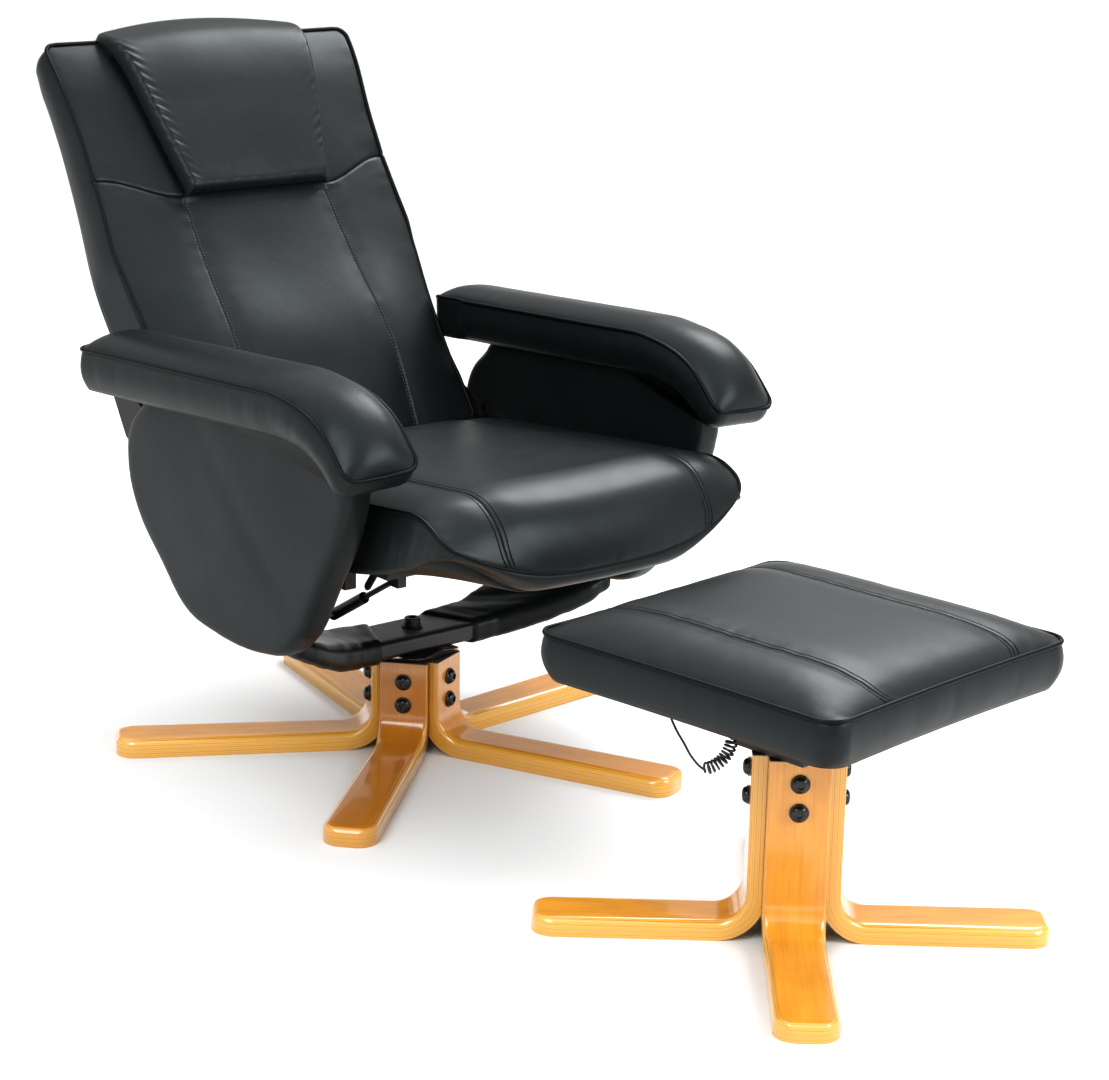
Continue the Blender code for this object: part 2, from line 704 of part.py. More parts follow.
def arm_pad(name, side, finish, carrier):
    """An upholstered arm: crowned top, piped border, boxed sides and a drooping nose."""
    length = arm_length()

    def half(s):
        return rounded_half(ARM_HALF_WIDTH, ARM_CORNER, min(s, length - s))

    def top(u, s):
        ends = 1 - (2 * s / length - 1) ** 8
        return arm_place(side, u * half(s), s, ARM_CROWN * (1 - u * u) * ends)

    def middle(u, s):
        return arm_place(side, u * (half(s) + 0.002), s, -arm_thickness(s) * 0.5)

    def bottom(u, s):
        return arm_place(side, u * (half(s) - 0.004), s, -arm_thickness(s))

    columns = mirrored([0.0, 0.35, 0.65, 0.88, 1.0])
    return add_piece(name, cushion(name, columns, arm_rows(), top, [middle, bottom]), finish, carrier)


def arm_clearance(side):
    """The space that an arm pad takes out of the panel below it."""
    reach = ARM_HALF_WIDTH + 0.03

    def top(u, s):
        return arm_place(side, u * reach, s, ARM_THICKNESS)

    def bottom(u, s):
        return arm_place(side, u * reach, s, -arm_thickness(s) - GAP)

    return cushion("arm_clearance", [-1.0, 1.0], arm_rows(), top, [bottom])


def pin_hole(side, place, start, depth, play):
    """A blind hole for a pivot pin, opening towards the link plates."""
    y, z = place
    return bore("pin_hole", (side * start, y, z), (side * (start + depth), y, z), PIVOT_RADIUS + play, 14)


def side_panel(name, side, finish, carrier):
    """An upholstered panel with soft edges, drilled for the two upper pivots."""
    middle = side * (PANEL_INNER + PANEL_THICKNESS / 2)
    mesh = upright_plate(name, PANEL_OUTLINE, middle, PANEL_THICKNESS, PANEL_SOFT_EDGE, rounded=True)
    piece = add_piece(name, mesh, finish, carrier)
    start = PANEL_INNER - 0.01
    deep = 0.01 + PANEL_BORE_DEPTH + GAP
    holes = [pin_hole(side, place, start, deep, PIN_PLAY) for place in (BACK_PIVOT, FRONT_PIVOT)]
    cut(piece, arm_clearance(side), *holes)
    if side < 0:
        cut(piece, pin_hole(side, LOCK_FOOT, start, deep, PIN_PLAY))
    return piece


def lower_pivot(upper):
    return upper[0] + LINK_DROP[0], upper[1] + LINK_DROP[1]


def link_pins(side, upper, lower):
    """The two pins of a link plate: one out into the panel, one in to the seat rail, each with a collar."""
    middle = LINK_PLANE + LINK_THICKNESS / 2
    rail = SEAT_BOARD_HALF
    spans = (
        (upper, middle, PANEL_INNER + PANEL_BORE_DEPTH, PIVOT_RADIUS),
        (upper, middle, PANEL_INNER - GAP, PIVOT_COLLAR),
        (lower, middle, rail - RAIL_BORE_DEPTH, PIVOT_RADIUS),
        (lower, middle, rail + GAP, PIVOT_COLLAR),
    )
    pins = []
    for (y, z), start, end, radius in spans:
        pins.append(rod("pivot_pin", (side * start, y, z), (side * end, y, z), radius, 14))
    return pins


def front_link(name, side, finish, carrier):
    """A steel link between the panel and the front of the seat."""
    lower = lower_pivot(FRONT_PIVOT)
    outline = rounded_hull((FRONT_PIVOT, lower), LINK_EYE, steps=6)
    mesh = upright_plate(name, outline, side * (LINK_PLANE + LINK_THICKNESS / 2), LINK_THICKNESS)
    return join(add_piece(name, mesh, finish, carrier), *link_pins(side, FRONT_PIVOT, lower))


def hinge_arm(name, side, finish, carrier):
    """A steel plate bolted to the back board, with the recline pivot and the rear seat pivot."""
    lower = lower_pivot(BACK_PIVOT)
    ends = [back_place(0.0, s, -back_depth(s) - BACK_BOARD_THICKNESS / 2) for s in HINGE_ARM_REACH]
    corners = (lower, (ends[0].y, ends[0].z), (ends[1].y, ends[1].z), BACK_PIVOT)
    outline = rounded_hull(corners, LINK_EYE)
    mesh = upright_plate(name, outline, side * (LINK_PLANE + LINK_THICKNESS / 2), LINK_THICKNESS)
    bosses = []
    for end in ends:
        start = Vector((side * (LINK_PLANE + LINK_THICKNESS / 2), end.y, end.z))
        stop = Vector((side * (BACK_BOARD_HALF + GAP), end.y, end.z))
        bosses.append(rod("boss", start, stop, BACK_BOARD_THICKNESS / 2 - 0.001, 12))
    return join(add_piece(name, mesh, finish, carrier), *link_pins(side, BACK_PIVOT, lower), *bosses)


def back_lean(s):
    if s < BACK_ROLL_START:
        return mix(BACK_LEAN_LOW, BACK_LEAN_HIGH, s / BACK_ROLL_START)
    return mix(BACK_LEAN_HIGH, BACK_LEAN_TOP, (s - BACK_ROLL_START) / (BACK_LENGTH - BACK_ROLL_START))


def back_at(s):
    """The front piping line of the back: y, z and lean, at a length up from its foot."""
    steps = 60
    y, z = BACK_FOOT
    for k in range(steps):
        lean = back_lean(s * (k + 0.5) / steps)
        y += s / steps * math.sin(lean)
        z += s / steps * math.cos(lean)
    return y, z, back_lean(s)


def back_place(x, s, out):
    """A point of the back: across, up it, and out from its piping line towards the sitter."""
    y, z, lean = back_at(s)
    return Vector((x, y - out * math.cos(lean), z + out * math.sin(lean)))


def back_half(s):
    half = mix(BACK_HALF_LOW, BACK_HALF_HIGH, s / BACK_LENGTH)
    half += BACK_BULGE * math.exp(-((s / BACK_LENGTH - 0.47) / 0.13) ** 2)
    half += BACK_FLARE * ease((s / BACK_LENGTH - 0.75) / 0.25)
    return rounded_half(half, BACK_CORNER, min(s, BACK_LENGTH - s))


def back_depth(s):
    t = s / BACK_LENGTH
    if t < 0.9:
        return mix(BACK_DEPTH_LOW, BACK_DEPTH_HIGH, t / 0.9)
    return mix(BACK_DEPTH_HIGH, BACK_TOP_DEPTH, ease((t - 0.9) / 0.1))


def back_rows():
    return [BACK_LENGTH * (1 + v) / 2 for v in spread(20)]


def back_crown(u, s):
    """Height of the padding over the piping line, fullest in the small of the back."""
    lumbar = math.exp(-((s / BACK_LENGTH - 0.22) / 0.20) ** 2)
    height = mix(BACK_CROWN_HIGH, BACK_CROWN_LUMBAR, lumbar)
    ends = 1 - abs(2 * s / BACK_LENGTH - 1) ** 6
    seam = BACK_SEAM_DEPTH * groove((abs(u) - 0.5) * BACK_HALF_LOW) * ease((PILLOW_START - s) / 0.05)
    return height * (1 - abs(u) ** 3) * ends - seam * ends


def back_mesh(name, columns, grow):
    """The back's padding, or the same form grown by a fit."""
    def top(u, s):
        return back_place(u * (back_half(s) + grow), s, back_crown(u, s) + grow)

    def middle(u, s):
        return back_place(u * (back_half(s) + 0.003 + grow), s, -back_depth(s) * 0.5)

    def bottom(u, s):
        return back_place(u * (back_half(s) + grow), s, -back_depth(s) - grow)

    rows = back_rows()
    rows[0] -= grow
    rows[-1] += grow
    return cushion(name, columns, rows, top, [middle, bottom])


def backrest(finishes, carrier):
    """Back cushion, head pillow, board and two massage motors."""
    mesh = back_mesh("back_cushion", BACK_COLUMNS, 0.0)
    pad = add_piece("back_cushion", mesh, finishes["leather"], carrier)
    rows = back_rows()[BACK_BOARD_ROWS[0]:BACK_BOARD_ROWS[1] + 1]

    def front(u, s):
        return back_place(u * BACK_BOARD_HALF, s, -back_depth(s) - GAP)

    def rear(u, s):
        return back_place(u * BACK_BOARD_HALF, s, -back_depth(s) - GAP - BACK_BOARD_THICKNESS)

    mesh = cushion("back_board", [-1.0, 1.0], rows, front, [rear])
    board = add_piece("back_board", mesh, finishes["board"], carrier)
    soften(board, 0.002)
    for name, s in zip(("back_motor_lower", "back_motor_upper"), BACK_MOTORS):
        face = back_place(0.0, s, -back_depth(s))
        rise = back_place(0.0, s + 0.01, -back_depth(s + 0.01)) - face
        into = Vector((1, 0, 0)).cross(rise).normalized()
        inner = face + into * MOTOR_HEIGHT
        cut(pad, bore("motor_pocket", face - into * 0.02, inner + into * 2 * GAP, MOTOR_RADIUS + GAP, 20))
        motor(name, face + into * GAP, into, finishes["motor"], carrier)
    pillow(finishes["leather"], carrier)


def motor(name, foot, along, finish, carrier, local=False):
    """A vibration motor: a ribbed puck with a domed end, seated in its pocket."""
    profile = (
        (0.0, MOTOR_HEIGHT), (MOTOR_RADIUS * 0.6, MOTOR_HEIGHT), (MOTOR_RADIUS * 0.7, MOTOR_HEIGHT * 0.8),
        (MOTOR_RADIUS, MOTOR_HEIGHT * 0.7), (MOTOR_RADIUS, 0.0), (0.0, 0.0),
    )
    turn = Vector(along).to_track_quat("Z", "Y").to_matrix().to_4x4()
    turned(name, profile, finish, carrier, steps=16, matrix=Matrix.Translation(foot) @ turn, local=local)


def pillow(finish, carrier):
    """A head pillow, wider at its top, that lies on the back and laps over its upper edge."""
    def along(u, v):
        end = BACK_LENGTH + PILLOW_OVER * (1 - 0.55 * u * u)
        return mix(PILLOW_START, end, (1 + v) / 2)

    def half(v):
        from_end = (1 - v) / 2 * (BACK_LENGTH - PILLOW_START)
        return rounded_half(mix(PILLOW_HALF_LOW, PILLOW_HALF_HIGH, (1 + v) / 2), PILLOW_CORNER, from_end)

    def top(u, v):
        low, high = (1 + v) / 2, (1 - v) / 2
        edge = PILLOW_EDGE * min(ease(low / 0.05), ease(high / 0.05))
        crown = PILLOW_CROWN * min(math.sqrt(min(low / 0.22, 1.0)), math.sqrt(min(high / 0.30, 1.0)))
        return back_place(u * half(v), along(u, v), edge + (crown - edge) * (1 - u ** 4))

    def behind(u, v):
        s = along(u, v)
        over = ease((s - BACK_LENGTH + PILLOW_CORNER * 2) / PILLOW_CORNER)
        return back_place(u * half(v), s, -mix(BACK_TOP_DEPTH / 2, PILLOW_WRAP, over))

    columns = mirrored([0.0, 0.30, 0.56, 0.78, 0.92, 1.0])
    mesh = cushion("head_pillow", columns, spread(14), top, [behind])
    piece = add_piece("head_pillow", mesh, finish, carrier)
    return cut(piece, back_mesh("pillow_bed", BACK_COLUMNS, GAP))


def seat_half(s, length):
    return rounded_half(SEAT_HALF, SEAT_CORNER, length - s)


def seat_place(u, t):
    """A point of the seat's top, from its rear edge, t = 0, over the nose to the front piping, t = 1."""
    run = SEAT_NOSE - SEAT_REAR
    turn = mix(SEAT_FRONT_TURN, SEAT_CORNER_TURN, abs(u) ** 3)
    flat = abs(run)
    length = flat + SEAT_NOSE_RADIUS * turn
    s = t * length
    ends = (1 - (1 - min(t / 0.25, 1.0)) ** 3) * ease((length - s) / 0.09)
    seam = SEAT_SEAM_DEPTH * groove((abs(u) - 0.68) * SEAT_HALF)
    crown = (SEAT_CROWN * (1 - abs(u) ** 5) - seam) * ends
    angle = max(s - flat, 0.0) / SEAT_NOSE_RADIUS
    height = mix(SEAT_REAR_HEIGHT, SEAT_NOSE_HEIGHT, min(s / flat, 1.0))
    y = SEAT_REAR - min(s, flat) - (SEAT_NOSE_RADIUS + crown) * math.sin(angle)
    z = height - SEAT_NOSE_RADIUS + (SEAT_NOSE_RADIUS + crown) * math.cos(angle)
    y -= SEAT_FRONT_BOW * (1 - u * u) * ease((s - flat) / (length - flat))
    half = seat_half(s, length + SEAT_CORNER * 0.35)
    return Vector((u * half, y, z))


def seat_cushion(finish, carrier):
    """The seat's padding: crowned top with two sewn channels, a rolled nose and boxed sides."""
    def top(u, v):
        return seat_place(u, (1 + v) / 2)

    def bottom(u, v):
        edge = top(u, v)
        forward = max((v + 1) / 2 - 0.58, 0.0) / 0.42
        lift = SEAT_LIFT * forward ** 1.8 * ease((abs(u) - 0.42) / 0.58)
        lift = lift if lift > 0.0005 else 0.0
        run = SEAT_REAR - top(u, 1.0).y
        y = SEAT_REAR - (SEAT_REAR - edge.y) * (1 - SEAT_TUCK / run)
        return Vector((edge.x * 0.975, y, SEAT_BASE + lift))

    def middle(u, v):
        edge = top(u, v)
        edge.x += 0.003 * (1 if u > 0.99 else -1 if u < -0.99 else 0)
        edge.y += 0.004 * (v > 0.99)
        edge.z = mix(edge.z, bottom(u, v).z, 0.55)
        return edge

    columns = mirrored([0.0, 0.22, 0.42, 0.56, 0.64, 0.68, 0.72, 0.82, 0.92, 1.0])
    rows = [-1.0, -0.93, -0.80, -0.62, -0.42, -0.20, 0.02, 0.22, 0.38]
    rows += [0.50, 0.60, 0.68, 0.75, 0.81, 0.87, 0.92, 0.96, 1.0]
    mesh = cushion("seat_cushion", columns, rows, top, [middle, bottom], bottom)
    pad = add_piece("seat_cushion", mesh, finish, carrier)
    reach = SEAT_BASE + MOTOR_HEIGHT + 2 * GAP
    low = SEAT_BASE - 0.02
    return cut(pad, bore("motor_pocket", (0, SEAT_MOTOR, low), (0, SEAT_MOTOR, reach), MOTOR_RADIUS + GAP, 20))


def seat_frame(finishes, carrier):
    """Plywood seat board with a rail under each side, drilled for the lower pivots."""
    top = SEAT_BASE - GAP
    low = top - SEAT_BOARD_THICKNESS
    half = SEAT_BOARD_HALF
    board = box("seat_frame", (-half, SEAT_BOARD_FRONT, low), (half, SEAT_REAR - 0.012, top))
    piece = add_piece("seat_frame", board, finishes["board"], carrier)
    for side in (-1, 1):
        near, far = sorted((side * (half - RAIL_THICKNESS), side * half))
        high = low + SEAT_BOARD_THICKNESS / 2
        join(piece, box("rail", (near, RAIL_FRONT, low - RAIL_HEIGHT), (far, RAIL_REAR, high)))
    for side in (-1, 1):
        deep = RAIL_BORE_DEPTH + GAP
        for upper, play in ((BACK_PIVOT, PIN_PLAY), (FRONT_PIVOT, OPEN_PIVOT_PLAY)):
            cut(piece, pin_hole(side, lower_pivot(upper), half - deep, deep + 0.01, play))
    motor("seat_motor", (0, SEAT_MOTOR, SEAT_BASE + GAP), (0, 0, 1), finishes["motor"], carrier)
    width, depth, height = CONTROL_BOX
    high = low - GAP
    rear = CONTROL_BOX_REAR
    shell = box("control_box", (-width / 2, rear - depth, high - height), (width / 2, rear, high))
    case = soften(add_piece("control_box", shell, finishes["black_plastic"], carrier), 0.004, 2)
    inlet = high - height / 2
    cut(case, bore("inlet", (0, rear - INLET_DEPTH, inlet), (0, rear + 0.01, inlet), INLET_RADIUS, 14))
    return low


def swing(angle):
    """Where a lower pivot goes, from rest, when the back reclines by an angle."""
    y, z = LINK_DROP
    c, s = math.cos(angle), math.sin(angle)
    return Vector((0.0, y * c + z * s - y, z * c - y * s - z))


def lock_head_place():
    along = (swing(RECLINE_MAX) - swing(RECLINE_MIN)).normalized()
    return Vector((LOCK_PLANE, *LOCK_FOOT)) + along * LOCK_LENGTH


def lever_place():
    """The release lever's pin, in the flange under the seat board."""
    head = lock_head_place()
    board_low = SEAT_BASE - GAP - SEAT_BOARD_THICKNESS
    return Vector((head.x, head.y + LEVER_BEHIND, board_low - GAP - LOCK_FLANGE[1] * 0.6))


def recline_lock(board_low, finishes, frame, seat, lever_axis):
    """A locking strut along the seat's travel: tube on the frame; rod, head and lever on the seat."""
    along = (swing(RECLINE_MAX) - swing(RECLINE_MIN)).normalized()
    foot = Vector((LOCK_PLANE, *LOCK_FOOT))
    head = lock_head_place()
    mouth = foot + along * LOCK_TUBE_LENGTH
    tube = add_piece("lock_cylinder", rod("lock_cylinder", foot - along * LOCK_TUBE, mouth, LOCK_TUBE, 16),
                     finishes["black_steel"], frame)
    wall = Vector((-PANEL_INNER - PANEL_BORE_DEPTH, *LOCK_FOOT))
    join(tube, rod("lock_pin", foot, wall, PIVOT_RADIUS, 14))
    travel = swing(RECLINE_MIN).length
    bore_start = mouth - along * (LOCK_ROD_OVERLAP + travel + 0.004)
    cut(tube, bore("lock_bore", bore_start, mouth + along * 0.01, LOCK_TUBE_BORE, 16))
    bar = add_piece("lock_rod", rod("lock_rod", mouth - along * LOCK_ROD_OVERLAP, head, LOCK_ROD, 12),
                    finishes["bright_steel"], seat)
    half = LOCK_HEAD * 0.7
    top = board_low - GAP
    block = box("lock_head", head - Vector((half, LOCK_HEAD, LOCK_HEAD)),
                (head.x + half, head.y + LOCK_HEAD, top))
    reach, thick = LOCK_FLANGE
    flange = box("lock_flange", (head.x - half + 0.0005, head.y, top - thick),
                 (head.x + half - 0.0005, head.y + reach, top - 0.0002))
    join(bar, block, flange)
    pin = lever_place()
    reach = half + LEVER_THICKNESS + 2 * GAP
    join(bar, rod("lever_pin", pin, pin - Vector((reach, 0, 0)), PIVOT_RADIUS * 0.6, 10))
    plane = head.x - half - GAP - LEVER_THICKNESS / 2
    tip = pin + Vector((0, LEVER_LENGTH * math.cos(LEVER_DROOP), -LEVER_LENGTH * math.sin(LEVER_DROOP)))
    outline = rounded_hull(((pin.y, pin.z), (tip.y, tip.z)), PIVOT_RADIUS)
    lever = add_piece("lock_lever", upright_plate("lock_lever", outline, plane, LEVER_THICKNESS),
                      finishes["black_steel"], lever_axis)
    hole = PIVOT_RADIUS * 0.6 + PIN_PLAY
    cut(lever, bore("lever_hole", (plane - 0.01, pin.y, pin.z), (plane + 0.01, pin.y, pin.z), hole, 10))


def stool_cushion(finish, carrier):
    """The footstool's pad: crowned, with two sewn channels, drawn-in sides and a boxed band."""
    piping = STOOL_BASE + STOOL_BAND

    def plan(u, v, inset=0.0):
        half = STOOL_HALF - inset
        y = v * half
        x = u * rounded_half(half, STOOL_CORNER, half - abs(y))
        x *= 1 - STOOL_PULL * (1 - v * v)
        y *= 1 - STOOL_PULL * (1 - u * u)
        c, s = math.cos(STOOL_PAD_TURN), math.sin(STOOL_PAD_TURN)
        return x * c - y * s, x * s + y * c

    def top(u, v):
        x, y = plan(u, v)
        seam = STOOL_SEAM_DEPTH * groove((abs(u) - 0.59) * STOOL_HALF)
        ends = 1 - v ** 6
        return Vector((x, y, piping + (STOOL_CROWN * (1 - u ** 6) - seam) * ends))

    def middle(u, v):
        return Vector((*plan(u, v, -0.003), STOOL_BASE + STOOL_BAND * 0.5))

    def bottom(u, v):
        return Vector((*plan(u, v, 0.006), STOOL_BASE))

    columns = mirrored([0.0, 0.20, 0.40, 0.53, 0.59, 0.65, 0.78, 0.90, 1.0])
    mesh = cushion("stool_cushion", columns, spread(16), top, [middle, bottom])
    pad = add_piece("stool_cushion", mesh, finish, carrier, local=True)
    reach = STOOL_BASE + MOTOR_HEIGHT + 2 * GAP
    return cut(pad, bore("motor_pocket", (0, 0, STOOL_BASE - 0.02), (0, 0, reach), MOTOR_RADIUS + GAP, 20))


def footstool(finishes, carrier):
    """Hub, pedestal box, board, motor and pad. The legs are set round the same axis."""
    hub("stool_hub", STOOL_LEGS, STOOL_LEG_TURN, STOOL_LEG_FACE, STOOL_LEG_THICKNESS, STOOL_LEG_TOP,
        STOOL_BOLT_HEIGHTS, SPINDLE_RADIUS, finishes["black_steel"], carrier)
    board_top = STOOL_BASE - GAP
    board_low = board_top - STOOL_BOARD_THICKNESS
    half = STOOL_BOX_HALF
    low, high = STOOL_LEG_TOP + GAP, board_low - GAP
    shell = box("stool_box", (-half, -half, low), (half, half, high))
    tray = add_piece("stool_box", shell, finishes["black_steel"], carrier, local=True)
    inner = half - STOOL_BOX_WALL
    cut(tray, box("box_hollow", (-inner, -inner, low + STOOL_BOX_WALL), (inner, inner, high + 0.02)))
    half = STOOL_BOARD_HALF
    board = box("stool_board", (-half, -half, board_low), (half, half, board_top))
    soften(add_piece("stool_board", board, finishes["board"], carrier, local=True), 0.002)
    stool_cushion(finishes["leather"], carrier)
    motor("stool_motor", (0, 0, STOOL_BASE + GAP), (0, 0, 1), finishes["motor"], carrier, local=True)
    cord(board_low, finishes["black_plastic"], carrier)


def smooth_route(points, per_span=4):
    """Points of a smooth curve through a route's own points."""
    out = []
    for i in range(1, len(points) - 2):
        a, b, c, d = points[i - 1:i + 3]
        for k in range(per_span):
            t = k / per_span
            out.append(0.5 * (2 * b + (c - a) * t + (2 * a - 5 * b + 4 * c - d) * t ** 2
                              + (3 * b - a - 3 * c + d) * t ** 3))
    out.append(points[-2])
    return out


def cord_route(start, end):
    """The curly cord's middle line: straight out of the gland, curls round an arc, then the plain lead."""
    diameter = 2 * CORD_RADIUS
    outward = Vector((math.cos(CORD_ARC_BEARING), math.sin(CORD_ARC_BEARING), 0.0))
    down = Vector((0, 0, -1))
    across = down.cross(outward)
    first = start + down * 2 * diameter
    count = CORD_CURLS * CORD_CURL_POINTS
    points = [start, start + down * diameter, first]
    for k in range(1, count + 1):
        t = k / count
        bend = t * math.pi / 2
        centre = first + (outward * (1 - math.cos(bend)) + down * math.sin(bend)) * CORD_ARC_RADIUS
        inward = outward * math.cos(bend) - down * math.sin(bend)
        radius = CORD_CURL_RADIUS * ease(t * CORD_CURLS * 1.2) * ease((1 - t) * CORD_CURLS * 1.2)
        angle = 2 * math.pi * CORD_CURLS * t
        points.append(centre + (inward * math.cos(angle) + across * math.sin(angle)) * radius)
    up = Vector((0, 0, 1))
    lead = points[-2:] + [Vector(p) for p in CORD_LEAD]
    lead += [end - up * diameter, end, end + up * diameter]
    return points[:-1] + smooth_route(lead)


def least_gap(points):
    """The least clear space between stretches of the cord that aren't neighbours along it."""
    along = [0.0]
    for a, b in zip(points, points[1:]):
        along.append(along[-1] + (b - a).length)
    best = 1.0
    for i, a in enumerate(points):
        for j in range(i + 1, len(points)):
            if along[j] - along[i] > 8 * CORD_RADIUS:
                best = min(best, (a - points[j]).length)
    return best - 2 * CORD_RADIUS


def cord(board_low, finish, carrier):
    """Gland, socket and the curly cord that hangs between them."""
    top = board_low - GAP
    x, y = CORD_GLAND
    turned("cord_gland", (
        (0.0, top), (GLAND_RADIUS, top), (GLAND_RADIUS * 0.9, top - GLAND_HEIGHT * 0.4),
        (GLAND_RADIUS * 0.55, top - GLAND_HEIGHT), (0.0, top - GLAND_HEIGHT),
    ), finish, carrier, steps=12, matrix=Matrix.Translation((x, y, 0)), local=True)
    across, deep, high = SOCKET_SIZE
    sx, sy = CORD_SOCKET
    shell = box("cord_socket", (sx - across / 2, sy - deep / 2, top - high),
                (sx + across / 2, sy + deep / 2, top))
    soften(add_piece("cord_socket", shell, finish, carrier, local=True), 0.0015)
    route = cord_route(Vector((x, y, top - GLAND_HEIGHT - GAP)), Vector((sx, sy, top - high - GAP)))
    length = sum((b - a).length for a, b in zip(route, route[1:]))
    print("cord length", round(length, 4), "least gap", round(least_gap(route) * 1000, 2), "mm")
    curve = bpy.data.curves.new("curly_cord", "CURVE")
    curve.dimensions = "3D"
    curve.bevel_depth = CORD_RADIUS
    curve.bevel_resolution = 1
    curve.use_fill_caps = True
    spline = curve.splines.new("POLY")
    spline.points.add(len(route) - 1)
    for point, place in zip(spline.points, route):
        point.co = (*place, 1.0)
    piece = bpy.data.objects.new("curly_cord", curve)
    PARTS.objects.link(piece)
    curve.materials.append(finish)
    piece.parent = carrier


def centre_on_origin(root):
    """Stand the whole set over the origin, by the middle of its box."""
    bpy.context.view_layer.update()
    graph = bpy.context.evaluated_depsgraph_get()
    corners = []
    for piece in PARTS.objects:
        if piece.type in {"MESH", "CURVE"} and not piece.name.startswith(("curly_cord", "cord_")):
            solid = piece.evaluated_get(graph)
            mesh = solid.to_mesh()
            corners += [piece.matrix_world @ vert.co for vert in mesh.vertices]
            solid.to_mesh_clear()
    middle = [(min(c[i] for c in corners) + max(c[i] for c in corners)) / 2 for i in range(2)]
    root.location = (-middle[0], -middle[1], 0.0)
    bpy.context.view_layer.update()


def main():
    clear_scene()
    finishes = {
        "leather": finish_of("black_leather", (0.022, 0.025, 0.027), 0.45),
        "plywood": finish_of("lacquered_plywood", (0.66, 0.38, 0.13), 0.25),
        "black_steel": finish_of("black_steel", (0.015, 0.015, 0.016), 0.40, 0.6),
        "bright_steel": finish_of("bright_steel", (0.55, 0.56, 0.58), 0.30, 1.0),
        "cradle": finish_of("painted_cradle", (0.03, 0.03, 0.032), 0.40, 0.5),
        "board": finish_of("plain_board", (0.35, 0.24, 0.14), 0.70),
        "motor": finish_of("motor_shell", (0.05, 0.05, 0.055), 0.50),
        "black_plastic": finish_of("black_plastic", (0.02, 0.02, 0.02), 0.45),
    }
    root = pivot("chair_axis", (0, 0, 0))
    frame = pivot("swivel_axis", (0, 0, 0), root)
    back = pivot("recline_axis", (0, *BACK_PIVOT), frame)
    seat = pivot("seat_axis", (0, *lower_pivot(BACK_PIVOT)), back)
    lever_axis = pivot("lever_axis", lever_place(), seat)
    stool = pivot("footstool_axis", (*STOOL_CENTRE, 0), root, turn=STOOL_TURN)

    leg = leg_mesh("chair_leg", CHAIR_LEG_REACH, CHAIR_LEG_TOP, CHAIR_LEG_FACE, CHAIR_LEG_WIDTH_TOP,
                   CHAIR_LEG_WIDTH_TIP, CHAIR_LEG_THICKNESS, CHAIR_BOLT_HEIGHTS, CHAIR_LEGS,
                   finishes["plywood"], root)
    leg_set("chair_leg", CHAIR_LEGS, CHAIR_LEG_TURN, CHAIR_LEG_FACE, CHAIR_LEG_THICKNESS, leg,
            CHAIR_BOLT_HEIGHTS, finishes, root)
    hub("chair_hub", CHAIR_LEGS, CHAIR_LEG_TURN, CHAIR_LEG_FACE, CHAIR_LEG_THICKNESS, CHAIR_LEG_TOP,
        CHAIR_BOLT_HEIGHTS, SPINDLE_RADIUS, finishes["black_steel"], root)
    cradle(swivel(finishes, root), finishes["cradle"], frame)

    for label, side in (("left", -1), ("right", 1)):
        side_panel("side_panel_" + label, side, finishes["leather"], frame)
        arm_pad("arm_pad_" + label, side, finishes["leather"], frame)
        axis = pivot("front_link_axis_" + label, (side * LINK_PLANE, *FRONT_PIVOT), frame)
        front_link("front_link_" + label, side, finishes["black_steel"], axis)
        hinge_arm("hinge_arm_" + label, side, finishes["black_steel"], back)
    backrest(finishes, back)
    seat_cushion(finishes["leather"], seat)
    board_low = seat_frame(finishes, seat)
    recline_lock(board_low, finishes, frame, seat, lever_axis)

    leg = leg_mesh("stool_leg", STOOL_LEG_REACH, STOOL_LEG_TOP, STOOL_LEG_FACE, STOOL_LEG_WIDTH_TOP,
                   STOOL_LEG_WIDTH_TIP, STOOL_LEG_THICKNESS, STOOL_BOLT_HEIGHTS, STOOL_LEGS,
                   finishes["plywood"], root)
    leg_set("stool_leg", STOOL_LEGS, STOOL_LEG_TURN, STOOL_LEG_FACE, STOOL_LEG_THICKNESS, leg,
            STOOL_BOLT_HEIGHTS, finishes, stool)
    footstool(finishes, stool)
    centre_on_origin(root)


main()
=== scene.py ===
"""Upholstery, timber and steel for a swivel recliner armchair and its footstool, around the solids."""
import json
import math
from collections import namedtuple

import bmesh
import bpy
from bpy.props import FloatProperty, FloatVectorProperty, PointerProperty
from mathutils import Euler, Matrix, Vector, noise

